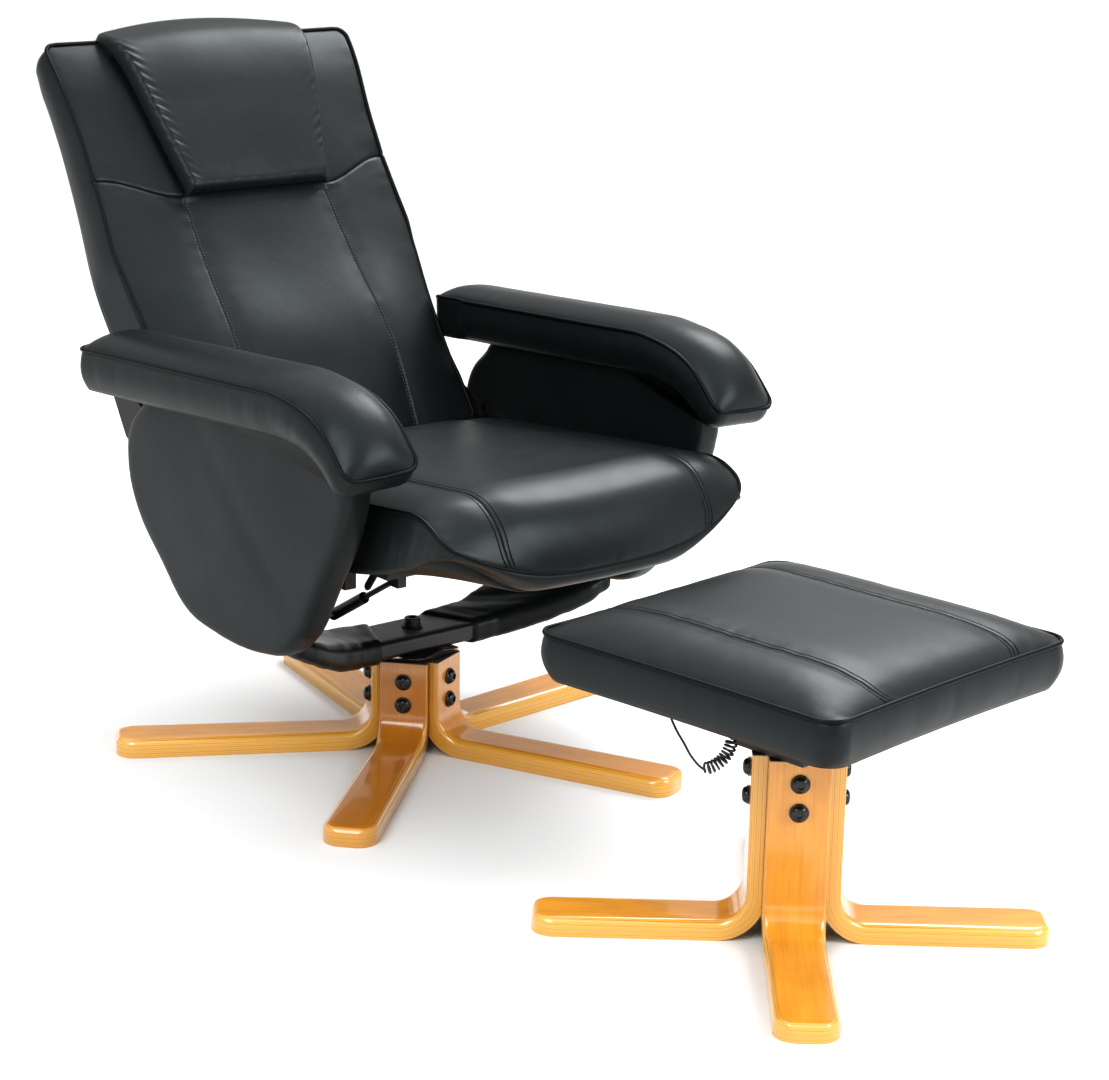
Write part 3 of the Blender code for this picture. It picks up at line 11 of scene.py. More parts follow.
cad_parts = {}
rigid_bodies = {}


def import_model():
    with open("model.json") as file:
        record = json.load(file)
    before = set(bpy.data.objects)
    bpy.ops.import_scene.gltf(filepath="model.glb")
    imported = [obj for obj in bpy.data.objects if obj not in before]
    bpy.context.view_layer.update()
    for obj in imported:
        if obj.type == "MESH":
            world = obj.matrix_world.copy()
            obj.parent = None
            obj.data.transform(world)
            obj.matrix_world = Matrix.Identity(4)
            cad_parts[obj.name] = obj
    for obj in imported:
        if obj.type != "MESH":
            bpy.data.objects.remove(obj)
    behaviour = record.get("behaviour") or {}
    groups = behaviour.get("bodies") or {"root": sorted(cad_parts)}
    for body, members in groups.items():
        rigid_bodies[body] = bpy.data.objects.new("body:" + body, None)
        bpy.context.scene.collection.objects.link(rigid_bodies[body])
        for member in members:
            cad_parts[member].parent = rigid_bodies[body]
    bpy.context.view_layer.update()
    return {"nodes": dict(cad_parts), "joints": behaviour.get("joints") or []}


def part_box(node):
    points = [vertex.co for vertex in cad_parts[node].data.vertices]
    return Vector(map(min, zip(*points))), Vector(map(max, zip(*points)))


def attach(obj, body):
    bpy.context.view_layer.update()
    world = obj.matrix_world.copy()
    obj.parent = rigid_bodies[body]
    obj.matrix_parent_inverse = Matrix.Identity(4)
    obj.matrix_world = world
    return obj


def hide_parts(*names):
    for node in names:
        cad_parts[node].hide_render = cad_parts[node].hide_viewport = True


bl_info = {
    "name": "Massage armchair looks",
    "version": (1, 0, 0),
    "blender": (4, 5, 0),
    "location": "View3D > Sidebar > Armchair",
    "description": "Dresses a packed swivel armchair and its footstool in faux leather and bent plywood",
    "category": "Object",
}

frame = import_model()
HOME = Vector(next(joint["pos_m"] for joint in frame["joints"] if joint["name"] == "swivel"))
HOME.z = 0.0                                        # the swivel axis on the floor
STOOL_HOME = sum(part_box("stool_hub"), Vector()) / 2
STOOL_HOME.z = 0.0
STOOL_TURN = math.radians(4.3)
SIDES = (("left", -1), ("right", 1))
CLEAR = 0.0005                                      # room between a pad and what it rests on
WELD = 0.00002                                      # points nearer than this become one
RIM = 0.999                                         # past this share of a grid lies its border
FADE = 0.006                                        # gathers fade out this near to a border

# Seams, piping and stitches
SEAM_REACH = 0.010                                  # how far from a seam its mark is felt
SEAM_GROOVE = (0.0008, 0.0025)                      # depth and width of the line that the thread pulls in
SEAM_VALLEY = 0.020                                 # width of the softer valley round it
TUCK = (0.0016, 0.004)                              # depth and width of a cover's dip beside its piping
PIPING_PROUD = 0.0016
PIPING_ROOM = 0.0008
STITCH_HALVES = (0.0008, 0.0007)
STITCH_LIFT = 0.0004

# Arm pads, along and across their piping line
ARM_MIDDLE = 0.3065
ARM_HALF = 0.0545
ARM_REAR = (0.290, 0.568)
ARM_BEND = (-0.160, 0.592)
ARM_BEND_RADIUS = 0.200
ARM_DROOP = math.radians(40)
ARM_NOSE = 0.058
ARM_THICK = (0.058, 0.044)                          # this and the next two: at the rear and at the nose
ARM_TURN_IN = (0.006, 0.015)
ARM_CORNERS = (0.018, 0.020)
ARM_CROWN = 0.020
ARM_PUFF = 0.013
ARM_BULGE = 0.0045
ARM_TILT = 0.06
ARM_RUN = math.hypot(ARM_REAR[0] - ARM_BEND[0], ARM_BEND[1] - ARM_REAR[1])
ARM_SLOPE = math.atan2(ARM_BEND[1] - ARM_REAR[1], ARM_REAR[0] - ARM_BEND[0])
ARM_ARC = ARM_BEND_RADIUS * (ARM_DROOP + ARM_SLOPE)
ARM_LENGTH = ARM_RUN + ARM_ARC + ARM_NOSE

# Backrest, up its front piping line
BACK_FOOT = (0.170, 0.405)
BACK_LENGTH = 0.654
BACK_LEANS = (math.radians(37.5), math.radians(29), math.radians(44))
BACK_ROLL = 0.560
BACK_STEPS = 800
BACK_PAST = 1.12                                    # how far the line is tabled, as a share of its length
BACK_HALVES = (0.245, 0.254)
BACK_WING = 0.008
BACK_CORNER = 0.018
BACK_DEPTHS = (0.106, 0.056, 0.042)                 # at the foot, the shoulder and the top
BACK_SHOULDER = 0.9
BACK_CROWNS = (0.012, 0.036)                        # at the head and in the small of the back
BACK_BULGE = 0.0050
BACK_SEAM = 0.5                                     # where the sewn lines run, as a share of each half
BACK_SEAM_X = (0.138, 0.122)
# How strongly the back's sewn lines below the yoke are marked: their painted shade, dulling and groove
# relief.
BACK_SEAM_MARK = 0.87
YOKE_ROW = 0.24
YOKE = (0.401, 0.440)                               # height of the yoke seam in the middle and at the sides
COVER_SPAN = (0.016, BACK_LENGTH * 0.905)           # the panel behind the back
COVER_HALF = 0.2355
COVER_CORNER = 0.030
COVER_THICK = 0.0105

# Head pillow
PILLOW_START = 0.398
PILLOW_OVER = 0.034
PILLOW_HALVES = (0.123, 0.178)
PILLOW_CORNER = 0.022
PILLOW_CROWN = 0.031
PILLOW_WRAP = 0.056
PILLOW_FOLD = 0.0030
PILLOW_FOLD_PITCH = 0.0175
PILLOW_TUCK = 0.016

# Seat
SEAT_REAR = 0.152
SEAT_NOSE = -0.330
SEAT_HALF = 0.254
SEAT_BASE = 0.335
SEAT_HEIGHTS = (0.412, 0.450)
SEAT_NOSE_RADIUS = 0.094
SEAT_TURNS = (math.radians(84), math.radians(50))
SEAT_CROWN = 0.022
SEAT_BULGE = 0.0050
SEAT_BOW = 0.010
SEAT_TUCK = 0.045
SEAT_LIFT = 0.058
SEAT_CORNER = 0.045
SEAT_SEAM = 0.68

# Footstool pad
PAD_TURN = STOOL_TURN + math.radians(1.9)
PAD_HALF = 0.224
PAD_CORNER = 0.030
PAD_BASE = 0.318
PAD_BAND = 0.058
PAD_CROWN = 0.030
PAD_BULGE = 0.0045
PAD_PULL = 0.020
PAD_SEAM = 0.57

# Side panels and the leather sleeves on the cradle
PANEL_VOXEL = 0.0045
PANEL_SWELL = 0.0040
PANEL_FOLD = 0.0009
PLATE_VOXEL = 0.0022
SLEEVE_VOXEL = 0.0035
SLEEVE_SPAN = (0.070, 0.270)
SLEEVE_THICK = 0.0045

# Plywood legs. There are as many as there are tones, the first at its bearing
LegKind = namedtuple("LegKind", "reach height face width_top width_tip thick bearing tones bolts home")
CHAIR_LEG = LegKind(0.418, 0.135, 0.0605, 0.067, 0.074, 0.026, math.radians(77.35),
                    (0.15, 0.05, 0.85, 0.40, 0.20), (0.107, 0.073), HOME)
STOOL_LEG = LegKind(0.313, 0.238, 0.0565, 0.0745, 0.0765, 0.0238, math.radians(45) + STOOL_TURN,
                    (0.10, 0.0, 0.15, 0.05), (0.210, 0.174), STOOL_HOME)
LEG_BEND = 0.036
LEG_TIP = 0.027
LEG_ROUND = (0.0026, 0.0110)                        # rounding of the edges, at the top and along the foot
LEG_ROOM = 0.0004                                   # between a leg and the mitre plane to its neighbour
LEG_BEVEL = 0.0014
LEG_COLUMNS = (0.0, 0.4, 0.7, 0.78, 0.84, 0.89, 0.93, 0.96, 0.98, 0.993, 1.0)
LEG_GRAIN = ("run", "across", "depth", "tone")      # what each point knows of its place in the plywood
BOLT_OUTLINE = (
    (0.0118, 0.0), (0.0118, 0.0013), (0.0113, 0.0018), (0.0104, 0.0019), (0.0101, 0.0030), (0.0094, 0.0048),
    (0.0080, 0.0064), (0.0062, 0.0073), (0.0045, 0.0076), (0.0041, 0.0074), (0.0039, 0.0046), (0.0, 0.0042),
)

# Curly cord under the footstool, about the footstool's own axis
CORD_RADIUS = 0.0014
CORD_GLAND = (-0.153, -0.030)
CORD_SOCKET = (-0.155, 0.065)
CORD_TOP = 0.3054
FITTING_DROP = 0.0083
CORD_CURLS = 11
CORD_CURL_RADIUS = 0.0065
CORD_CURL_POINTS = 14
CORD_ARC_RADIUS = 0.034
CORD_ARC_BEARING = math.radians(155)
CORD_LEAD = (
    (-0.1870, -0.0100, 0.2620), (-0.1830, 0.0060, 0.2685), (-0.1770, 0.0220, 0.2770),
    (-0.1700, 0.0400, 0.2850), (-0.1585, 0.0595, 0.2910),
)

# Stage: the photograph's view, and each lamp's place from the middle of the set and its size
CAMERA_PLACE = (-2.3298, -3.0637, 1.3924)
CAMERA_LOOK = (0.6211, 0.7347, -0.2729)
CAMERA_ROLL = math.radians(1.266)
CAMERA_LENS = 92.42
CAMERA_SENSOR = 36.0
SET_MIDDLE = HOME + Vector((0.0, -0.3, 0.4))
LAMPS = {
    "key": ((-2.3, -0.9, 1.7), 1.6),
    "overhead": ((2.0, 0.85, 2.6), 1.7),
    "fill": ((0.9, -2.7, 1.3), 1.4),
}
FLOOR_SIZE = 24.0
SURROUND_STOPS = (0.10, 0.22, 0.35, 1.0)            # heights of horizon, wall, upper wall and ceiling
UPPER_WALL = 0.07


def size_prop(name, description, default):
    return FloatProperty(name=name, description=description, default=default, unit="LENGTH")


def colour_prop(name, description, default):
    return FloatVectorProperty(name=name, description=description, default=default, subtype="COLOR")


def power_prop(name, description, default):
    return FloatProperty(name=name, description=description, default=default, unit="POWER")


class ArmchairSizes(bpy.types.PropertyGroup):
    """Sizes of the covering's fine work."""
    piping: size_prop("Piping", "Radius of the piping round the cushions", 0.0029)
    stitch: size_prop("Stitch", "Length of one stitch", 0.0036)
    stitch_gap: size_prop("Stitch gap", "Space between two stitches", 0.0014)
    twin: size_prop("Twin rows", "Space between a seam and each row of stitches beside it", 0.0065)
    pucker: size_prop("Pucker", "How deep the cover gathers along its seams", 0.0011)
    pebble: size_prop("Pebble", "Width of one pebble of the leather's grain", 0.0013)
    ply: size_prop("Ply", "Thickness of two plies of the legs", 0.0058)


class ArmchairColours(bpy.types.PropertyGroup):
    """Colours of the finishes."""
    leather: colour_prop("Leather", "Colour of the faux leather", (0.0062, 0.0078, 0.0085))
    leather_worn: colour_prop("Leather, lighter", "Its lighter patches", (0.0088, 0.0104, 0.0108))
    sheen: colour_prop("Sheen", "Tint of the leather's shine", (0.86, 0.97, 0.98))
    piping: colour_prop("Piping", "Colour of the piping", (0.0026, 0.0032, 0.0036))
    thread: colour_prop("Thread", "Colour of the stitching", (0.045, 0.050, 0.050))
    timber: colour_prop("Timber", "Lacquered face veneer", (0.740, 0.325, 0.035))
    timber_dark: colour_prop("Timber grain", "Dark streaks of the veneer", (0.340, 0.105, 0.009))
    timber_edge: colour_prop("Timber edge", "Light plies on the edges", (0.700, 0.375, 0.066))
    timber_line: colour_prop("Glue line", "Dark lines between the plies", (0.270, 0.092, 0.011))
    timber_end: colour_prop("End grain", "Stained tops of the uprights", (0.050, 0.024, 0.012))
    steel: colour_prop("Black steel", "Powder coat on the steel", (0.010, 0.010, 0.0105))
    # The cradle plate's grey is a painted reflection on its upward faces; the rest of the plate is black
    # steel.
    plate: colour_prop("Cradle plate", "Grey steel of the cradle", (0.130, 0.132, 0.134))


class ArmchairStage(bpy.types.PropertyGroup):
    """Floor and studio light."""
    floor: colour_prop("Floor", "Colour of the floor", (0.75, 0.75, 0.75))
    key: power_prop("Key", "Power of the large light on the left", 44.0)
    overhead: power_prop("Overhead", "Power of the light above", 78.0)
    fill: power_prop("Fill", "Power of the soft light in front", 56.0)
    surround: FloatVectorProperty(name="Surround", description="Strength of its horizon, walls and ceiling",
                                  size=3, default=(1.10, 0.34, 1.80))


def sizes():
    return bpy.context.scene.armchair_sizes


def colours():
    return bpy.context.scene.armchair_colours


# Shaping

def mix(a, b, t):
    return a + (b - a) * t


def ease(t):
    t = min(max(t, 0.0), 1.0)
    return t * t * (3 - 2 * t)


def sign(value):
    return math.copysign(1, value)


def arch(t):
    """0 at both ends of a span from 0 to 1, and 1 in its middle."""
    return math.sin(math.pi * t)


def dip(distance, width):
    """1 at a place, falling to 0 beside it."""
    return math.exp(-(distance / width) ** 2)


def ripple(x, y, z):
    """Smooth noise between -1 and 1."""
    return noise.noise(Vector((x, y, z)))


def gather(along, away, seed, pitch=0.020, reach=0.022):
    """Puckers beside a seam: waves along it that die away from it. Each seam has a seed of its own."""
    wave = ripple(along / pitch, seed * 3.7, away / (reach * 2.5))
    wave += 0.5 * ripple(along / pitch * 2.3, seed * 5.1 + 9, away / reach)
    return wave * math.exp(-abs(away) / reach)


def slack(point, scale=0.11):
    """Broad unevenness of a stuffed cover."""
    return noise.noise(Vector(point) / scale + Vector((3.1, 7.7, 1.3)))


def rounded_half(half, corner, from_end):
    """Half width of a plan with round corners, at a distance from its end."""
    reach = max(corner - from_end, 0.0)
    return half - corner + math.sqrt(max(corner * corner - reach * reach, 0.0))


def rolled(distance, radius):
    """A quarter round: 0 at an edge, 1 from a radius inside it."""
    return 1 - (1 - min(max(distance, 0.0) / radius, 1.0)) ** 3


def tuck(border):
    """How far a cover is drawn in beside its piping, by the distance from its border."""
    depth, width = TUCK
    return depth * math.exp(-border / width)


def seam_cut(distance, valley):
    """How far a sewn line draws its cover in: a fine groove in a soft valley."""
    depth, width = SEAM_GROOVE
    return depth * dip(distance, width) + valley * dip(distance, SEAM_VALLEY)


def near(distance):
    """How near a seam is: 1 on it, and 0 from its reach on."""
    return max(1 - abs(distance) / SEAM_REACH, 0.0)


def graded(stops, counts, pull=0.72):
    """Positions that land on every stop and crowd together near it."""
    line = []
    for a, b, count in zip(stops, stops[1:], counts):
        for k in range(count):
            t = k / count
            line.append(a + (b - a) * (t - pull * math.sin(2 * math.pi * t) / (2 * math.pi)))
    return line + [stops[-1]]


def mirrored(values):
    return [-value for value in reversed(values) if value > 0] + list(values)


# Meshes

def mesh_from(name, bm, sharp=None):
    """Turn a bmesh into a smooth mesh with its faces outwards."""
    bmesh.ops.recalc_face_normals(bm, faces=bm.faces)
    mesh = bpy.data.meshes.new(name)
    bm.to_mesh(mesh)
    bm.free()
    mesh.shade_smooth()
    if sharp:
        mesh.set_sharp_from_angle(angle=math.radians(sharp))
    return mesh


def taken(*meshes):
    """Meshes as one bmesh. The meshes themselves go."""
    bm = bmesh.new()
    for mesh in meshes:
        bm.from_mesh(mesh)
        bpy.data.meshes.remove(mesh)
    return bm


def evaluated(item):
    """The mesh that an object's curve or modifiers give. The object goes, and its data with it."""
    bpy.context.scene.collection.objects.link(item)
    bpy.context.view_layer.update()
    mesh = bpy.data.meshes.new_from_object(item.evaluated_get(bpy.context.evaluated_depsgraph_get()))
    source = item.data
    bpy.data.objects.remove(item, do_unlink=True)
    bpy.data.batch_remove((source,))
    return mesh


def close_up(bm):
    """Close every opening with a flat face."""
    bmesh.ops.holes_fill(bm, edges=[edge for edge in bm.edges if edge.is_boundary], sides=0)


def cut_away(bm, place, normal):
    """Cut off what lies beyond a plane, on the side of its normal, and close the cut."""
    geom = bm.verts[:] + bm.edges[:] + bm.faces[:]
    bmesh.ops.bisect_plane(bm, geom=geom, plane_co=place, plane_no=normal, clear_outer=True)
    close_up(bm)


def settle(mesh, finish, body, slot, *nodes):
    """Put a finished mesh in the scene, on the body that carries it."""
    piece = bpy.data.objects.new(mesh.name, mesh)
    bpy.context.scene.collection.objects.link(piece)
    mesh.materials.clear()
    mesh.materials.append(finish)
    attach(piece, body)
    if nodes:
        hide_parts(*nodes)
    return piece


def quilt(name, columns, rows, top, side, steps, floor=False, seams=None):
    """A closed padded form.

    A grid is shaped by top(u, v), and its border is drawn down by side(u, v, w) in steps from w = 0 to 1.
    The opening is closed flat, or with a floor, a second grid that side(u, v, 1) shapes. seams(u, v) tells
    how near each place is to a twin-stitched and to a plain seam, from 1 on it to 0 at its reach.
    """
    bm = bmesh.new()
    across = bm.verts.layers.float.new("across")
    along = bm.verts.layers.float.new("along")
    marks = [bm.verts.layers.float.new(mark) for mark in ("twin", "plain")] if seams else []
    last = (len(columns) - 1, len(rows) - 1)

    def sheet(shape):
        for vert in bmesh.ops.create_grid(bm, x_segments=last[0], y_segments=last[1], size=1.0)["verts"]:
            u = columns[round((vert.co.x + 1) / 2 * last[0])]
            v = rows[round((vert.co.y + 1) / 2 * last[1])]
            vert[across], vert[along] = u, v
            vert.co = shape(u, v)

    sheet(top)
    if seams:
        for vert in bm.verts:
            vert[marks[0]], vert[marks[1]] = seams(vert[across], vert[along])
    for k in range(1, steps + 1):
        border = [edge for edge in bm.edges if edge.is_boundary]
        grown = bmesh.ops.extrude_edge_only(bm, edges=border)["geom"]
        for vert in grown:
            if isinstance(vert, bmesh.types.BMVert):
                vert.co = side(vert[across], vert[along], k / steps)
                for mark in marks:
                    vert[mark] = 0.0
    if floor:
        sheet(lambda u, v: side(u, v, 1.0))
        rim = [vert for vert in bm.verts if vert.is_boundary]
        bmesh.ops.remove_doubles(bm, verts=rim, dist=WELD)
    else:
        close_up(bm)
    return mesh_from(name, bm)


def border_of(columns, rows):
    """The places round a grid's border, in order."""
    loop = [(u, rows[0]) for u in columns] + [(columns[-1], v) for v in rows[1:]]
    loop += [(u, rows[-1]) for u in reversed(columns[:-1])]
    return loop + [(columns[0], v) for v in reversed(rows[1:-1])]


def piping_line(top, flank, columns, rows, beside=None):
    """The line that piping takes round a pad: on its border, proud of the faces that meet there.

    Where beside(u, v) is 1, another pad passes close by, and the piping lies on the face instead.
    """
    line = []
    for u, v in border_of(columns, rows):
        here = top(u, v)
        inwards = (top(u * 0.95, v * 0.985) - here).normalized()
        down = (flank(u, v, 0.15) - here).normalized()
        shy = beside(u, v) if beside else 0.0
        proud = (inwards + down).normalized() * -PIPING_PROUD
        line.append(here + proud.lerp(inwards * (sizes().piping + PIPING_ROOM), shy))
    return line


def tube(name, points, radius, closed=True, sides=2):
    """A round cord along points, as a mesh."""
    curve = bpy.data.curves.new(name, "CURVE")
    curve.dimensions = "3D"
    curve.bevel_depth = radius
    curve.bevel_resolution = sides
    curve.use_fill_caps = not closed
    spline = curve.splines.new("POLY")
    spline.use_cyclic_u = closed
    spline.points.add(len(points) - 1)
    for point, place in zip(spline.points, points):
        point.co = (*place, 1.0)
    bm = taken(evaluated(bpy.data.objects.new(name, curve)))
    bmesh.ops.remove_doubles(bm, verts=bm.verts, dist=WELD / 2)
    return mesh_from(name, bm)


def spaced(points, pitch):
    """Points at an even pitch along a polyline of (place, normal)."""
    out, left = [], 0.0
    for (a, up), (b, _) in zip(points, points[1:]):
        span = (b - a).length
        while left < span:
            out.append((a.lerp(b, left / span), (b - a).normalized(), up))
            left += pitch
        left -= span
    return out


def stitched(name, lines):
    """Rows of short stitches that lie along lines of (place, normal)."""
    length = sizes().stitch
    size = Matrix.Diagonal((length / 2, *STITCH_HALVES, 1.0))
    bm = bmesh.new()
    for line in lines:
        for place, along, up in spaced(line, length + sizes().stitch_gap):
            flat = along.cross(up).normalized()
            turn = Matrix((along, flat, along.cross(flat))).transposed().to_4x4()
            bmesh.ops.create_icosphere(bm, subdivisions=1, radius=1.0,
                                       matrix=Matrix.Translation(place) @ turn @ size)
    return mesh_from(name, bm)


def normal_at(shape, u, v, step=0.004):
    """The outward normal of a shaped grid."""
    du = shape(min(u + step, 1.0), v) - shape(max(u - step, -1.0), v)
    dv = shape(u, min(v + step, 1.0)) - shape(u, max(v - step, -1.0))
    return du.cross(dv).normalized()


def seam_rows(shape, column, low, high, offset, count=120, outwards=1):
    """Rows of (place, normal) beside the sewn lines that run from low to high in both halves of a pad."""
    rows = []
    for half in (-1, 1):
        places = [(half * column, mix(low, high, k / count)) for k in range(count + 1)]
        for side in (-1, 1):
            line = []
            for k, (u, v) in enumerate(places):
                up = normal_at(shape, u, v) * outwards
                ahead = shape(*places[min(k + 1, count)]) - shape(*places[max(k - 1, 0)])
                out = ahead.normalized().cross(up)
                line.append((shape(u, v) + out * side * offset + up * STITCH_LIFT, up))
            rows.append(line)
    return rows


def spun(name, outline, place, steps=24):
    """A turned form from (radius, height) along its outline."""
    bm = bmesh.new()
    verts = [bm.verts.new((radius, 0.0, height)) for radius, height in outline]
    edges = [bm.edges.new(pair) for pair in zip(verts, verts[1:])]
    bmesh.ops.spin(bm, geom=verts + edges, cent=(0, 0, 0), axis=(0, 0, 1), angle=2 * math.pi, steps=steps,
                   use_merge=True, use_duplicate=False)
    bmesh.ops.remove_doubles(bm, verts=bm.verts, dist=WELD)
    bmesh.ops.transform(bm, matrix=place, verts=bm.verts)
    return mesh_from(name, bm, 40)


# Finishes

def set_stops(ramp, stops):
    """Give a colour ramp its stops of (position, colour)."""
    band = ramp.color_ramp
    while len(band.elements) < len(stops):
        band.elements.new(0.5)
    for element, (position, colour) in zip(band.elements, stops):
        element.position = position
        element.color = (*colour, 1.0)


class Finish:
    """A material with a Principled shader, and short ways to add nodes to it."""

    def __init__(self, name, colour, roughness, metallic=0.0, specular=0.5, coat=0.0, coat_roughness=0.1,
                 tint=(1.0, 1.0, 1.0)):
        self.material = bpy.data.materials.new(name)
        self.material.use_nodes = True
        self.tree = self.material.node_tree
        self.shader = self.tree.nodes["Principled BSDF"]
        values = {"Base Color": colour, "Roughness": roughness, "Metallic": metallic, "Specular Tint": tint,
                  "Specular IOR Level": specular, "Coat Weight": coat, "Coat Roughness": coat_roughness}
        for socket, value in values.items():
            self.feed(self.shader.inputs[socket], value)
        self.place = self.node("ShaderNodeTexCoord").outputs["Object"]
        self.bumped = None

    def feed(self, socket, value):
        """Link a source to a socket, or set a number or a colour on it."""
        if hasattr(value, "links"):
            self.tree.links.new(value, socket)
        else:
            socket.default_value = (*value, 1.0) if hasattr(value, "__len__") else value

    def node(self, kind, links=(), **values):
        """Add a node. Values whose names are sockets are set there, and the rest on the node."""
        item = self.tree.nodes.new(kind)
        for key, value in values.items():
            if hasattr(item, key):
                setattr(item, key, value)
            else:
                item.inputs[key.replace("_", " ").title()].default_value = value
        for socket, source in dict(links).items():
            self.tree.links.new(source, item.inputs[socket])
        return item

    def noise(self, scale, detail=4.0, vector=None):
        links = {"Vector": vector or self.place}
        return self.node("ShaderNodeTexNoise", links, scale=scale, detail=detail).outputs["Fac"]

    def stretch(self, vector, scale):
        return self.node("ShaderNodeMapping", {"Vector": vector}, scale=scale).outputs["Vector"]

    def attribute(self, name):
        return self.node("ShaderNodeAttribute", attribute_name=name).outputs["Fac"]

    def sums(self, operation, a, b):
        """A Math node on sources or plain numbers."""
        item = self.node("ShaderNodeMath", operation=operation)
        for socket, value in zip(item.inputs, (a, b)):
            self.feed(socket, value)
        return item.outputs[0]

    def ramp(self, source, stops):
        """A colour ramp of (position, colour)."""
        item = self.node("ShaderNodeValToRGB", {"Fac": source})
        set_stops(item, stops)
        return item.outputs["Color"]

    def blend(self, factor, a, b, mode="MIX"):
        """A Mix node on sources or plain colours."""
        item = self.node("ShaderNodeMix", data_type="RGBA", blend_type=mode)
        for number, value in ((0, factor), (6, a), (7, b)):
            self.feed(item.inputs[number], value)
        return item.outputs[2]

    def product(self, a, b):
        return self.blend(1.0, a, b, "MULTIPLY")

    def colour(self, source):
        self.feed(self.shader.inputs["Base Color"], source)

    def rough(self, source, low, high):
        item = self.node("ShaderNodeMapRange", {"Value": source}, to_min=low, to_max=high)
        self.feed(self.shader.inputs["Roughness"], item.outputs[0])

    def dull(self, source):
        """Take the shine away where the source is dark."""
        socket = self.shader.inputs["Roughness"]
        matt = self.sums("SUBTRACT", 1.0, source)
        self.feed(socket, self.sums("MAXIMUM", socket.links[0].from_socket, matt))

    def bump(self, height, distance, strength=1.0):
        """Lay a relief over the reliefs so far."""
        item = self.node("ShaderNodeBump", {"Height": height}, strength=strength, distance=distance)
        if self.bumped:
            self.feed(item.inputs["Normal"], self.bumped)
        self.bumped = item.outputs["Normal"]
        self.feed(self.shader.inputs["Normal"], self.bumped)


MADE = {}


def finish_of(name, make):
    """Make each finish once."""
    if name not in MADE:
        MADE[name] = make(name).material
    return MADE[name]


def coated(name, colour, roughness, patches=None, relief=None, **shader):
    """A finish of one colour.

    patches are a noise's scale and detail, and the roughness that it spreads from low to high. relief is a
    finer noise's scale, and the depth and strength of its bump.
    """
    look = Finish(name, colour, roughness, **shader)
    if patches:
        scale, detail, low, high = patches
        look.rough(look.noise(scale, detail), low, high)
    if relief:
        scale, depth, strength = relief
        look.bump(look.noise(scale, 2.0), depth, strength)
    return look


def leather(name):
    """Pebbled faux leather with soft patches of wear, pressed in, dull and darkened by painted shade along
    its seams.
    """
    shades, light, dark = colours(), (1, 1, 1), (0, 0, 0)
    look = Finish(name, shades.leather, 0.42, specular=0.24, tint=shades.sheen)
    cover = look.ramp(look.noise(7.0, 3.0), ((0.30, shades.leather), (0.72, shades.leather_worn)))
    # Painted shade: the colour darkens in the groove of each twin-stitched seam and along its two stitch
    # rows.
    twin_seam_groove_and_shade = look.ramp(look.attribute("twin"), ((0.24, light), (0.32, dark), (0.38, dark), (0.46, light),
                                              (0.82, light), (0.96, dark)))
    # Painted shade: the colour darkens in the groove of each plain sewn line and of the yoke seam.
    line = look.ramp(look.attribute("plain"), ((0.80, light), (1.00, dark)))
    look.colour(look.product(look.product(cover, twin_seam_groove_and_shade), line))
    look.rough(look.noise(26.0, 5.0), 0.33, 0.43)
    look.dull(look.product(twin_seam_groove_and_shade, line))
    look.bump(twin_seam_groove_and_shade, 0.0012, 0.9)
    look.bump(line, 0.0016, 0.9)
    pebble = look.node("ShaderNodeTexVoronoi", {"Vector": look.place}, feature="SMOOTH_F1",
                       scale=1.0 / sizes().pebble, smoothness=0.6).outputs["Distance"]
    look.bump(pebble, 0.00010, 0.55)
    look.bump(look.noise(420.0, 3.0), 0.00012, 0.5)
    look.bump(look.noise(60.0, 4.0), 0.0006, 0.35)
    return look


def welting(name):
    """The piping's leather, drawn tight."""
    return coated(name, colours().piping, 0.40, (90.0, 4.0, 0.34, 0.48), (700.0, 0.00008, 0.5),
                  specular=0.14, tint=colours().sheen)


def thread(name):
    return coated(name, colours().thread, 0.50, relief=(1600.0, 0.0001, 0.5))


def timber(name):
    """Lacquered plywood. The plies show wherever a surface cuts across them."""
    shades = colours()
    look = Finish(name, shades.timber, 0.24, coat=0.8, coat_roughness=0.07)
    run, across, depth, tone = [look.attribute(key) for key in LEG_GRAIN]
    place = look.node("ShaderNodeCombineXYZ", {"X": across, "Y": run, "Z": tone}).outputs[0]
    streak = look.noise(1.0, 5.0, look.stretch(place, (420.0, 9.0, 31.0)))
    figure = look.noise(1.0, 4.0, look.stretch(place, (34.0, 13.0, 17.0)))
    deep = [mix(a, b, 0.28) for a, b in zip(shades.timber, shades.timber_dark)]
    face = look.ramp(streak, ((0.30, deep), (0.62, shades.timber)))
    flame = look.ramp(figure, ((0.38, (0, 0, 0)), (0.75, (0.35, 0.35, 0.35))))
    face = look.blend(flame, face, shades.timber_dark)
    face = look.blend(look.sums("MULTIPLY", tone, 0.75), face, shades.timber_dark)
    turns = look.sums("DIVIDE", depth, sizes().ply)
    layer = look.sums("FRACT", look.sums("ADD", turns, look.sums("MULTIPLY", figure, 0.16)), 0.0)
    edge = look.ramp(layer, (
        (0.00, shades.timber_dark), (0.05, shades.timber_edge), (0.42, shades.timber_edge),
        (0.48, shades.timber_line), (0.54, shades.timber_edge), (0.97, shades.timber_edge),
    ))
    edge = look.blend(look.sums("MULTIPLY", tone, 0.35), edge, shades.timber_dark)
    inside = look.sums("GREATER_THAN", depth, 0.0012)
    top_end = look.sums("LESS_THAN", run, 0.0011)
    look.colour(look.blend(top_end, look.blend(inside, face, edge), shades.timber_end))
    look.rough(figure, 0.16, 0.30)
    look.bump(figure, 0.0004, 0.12)
    return look


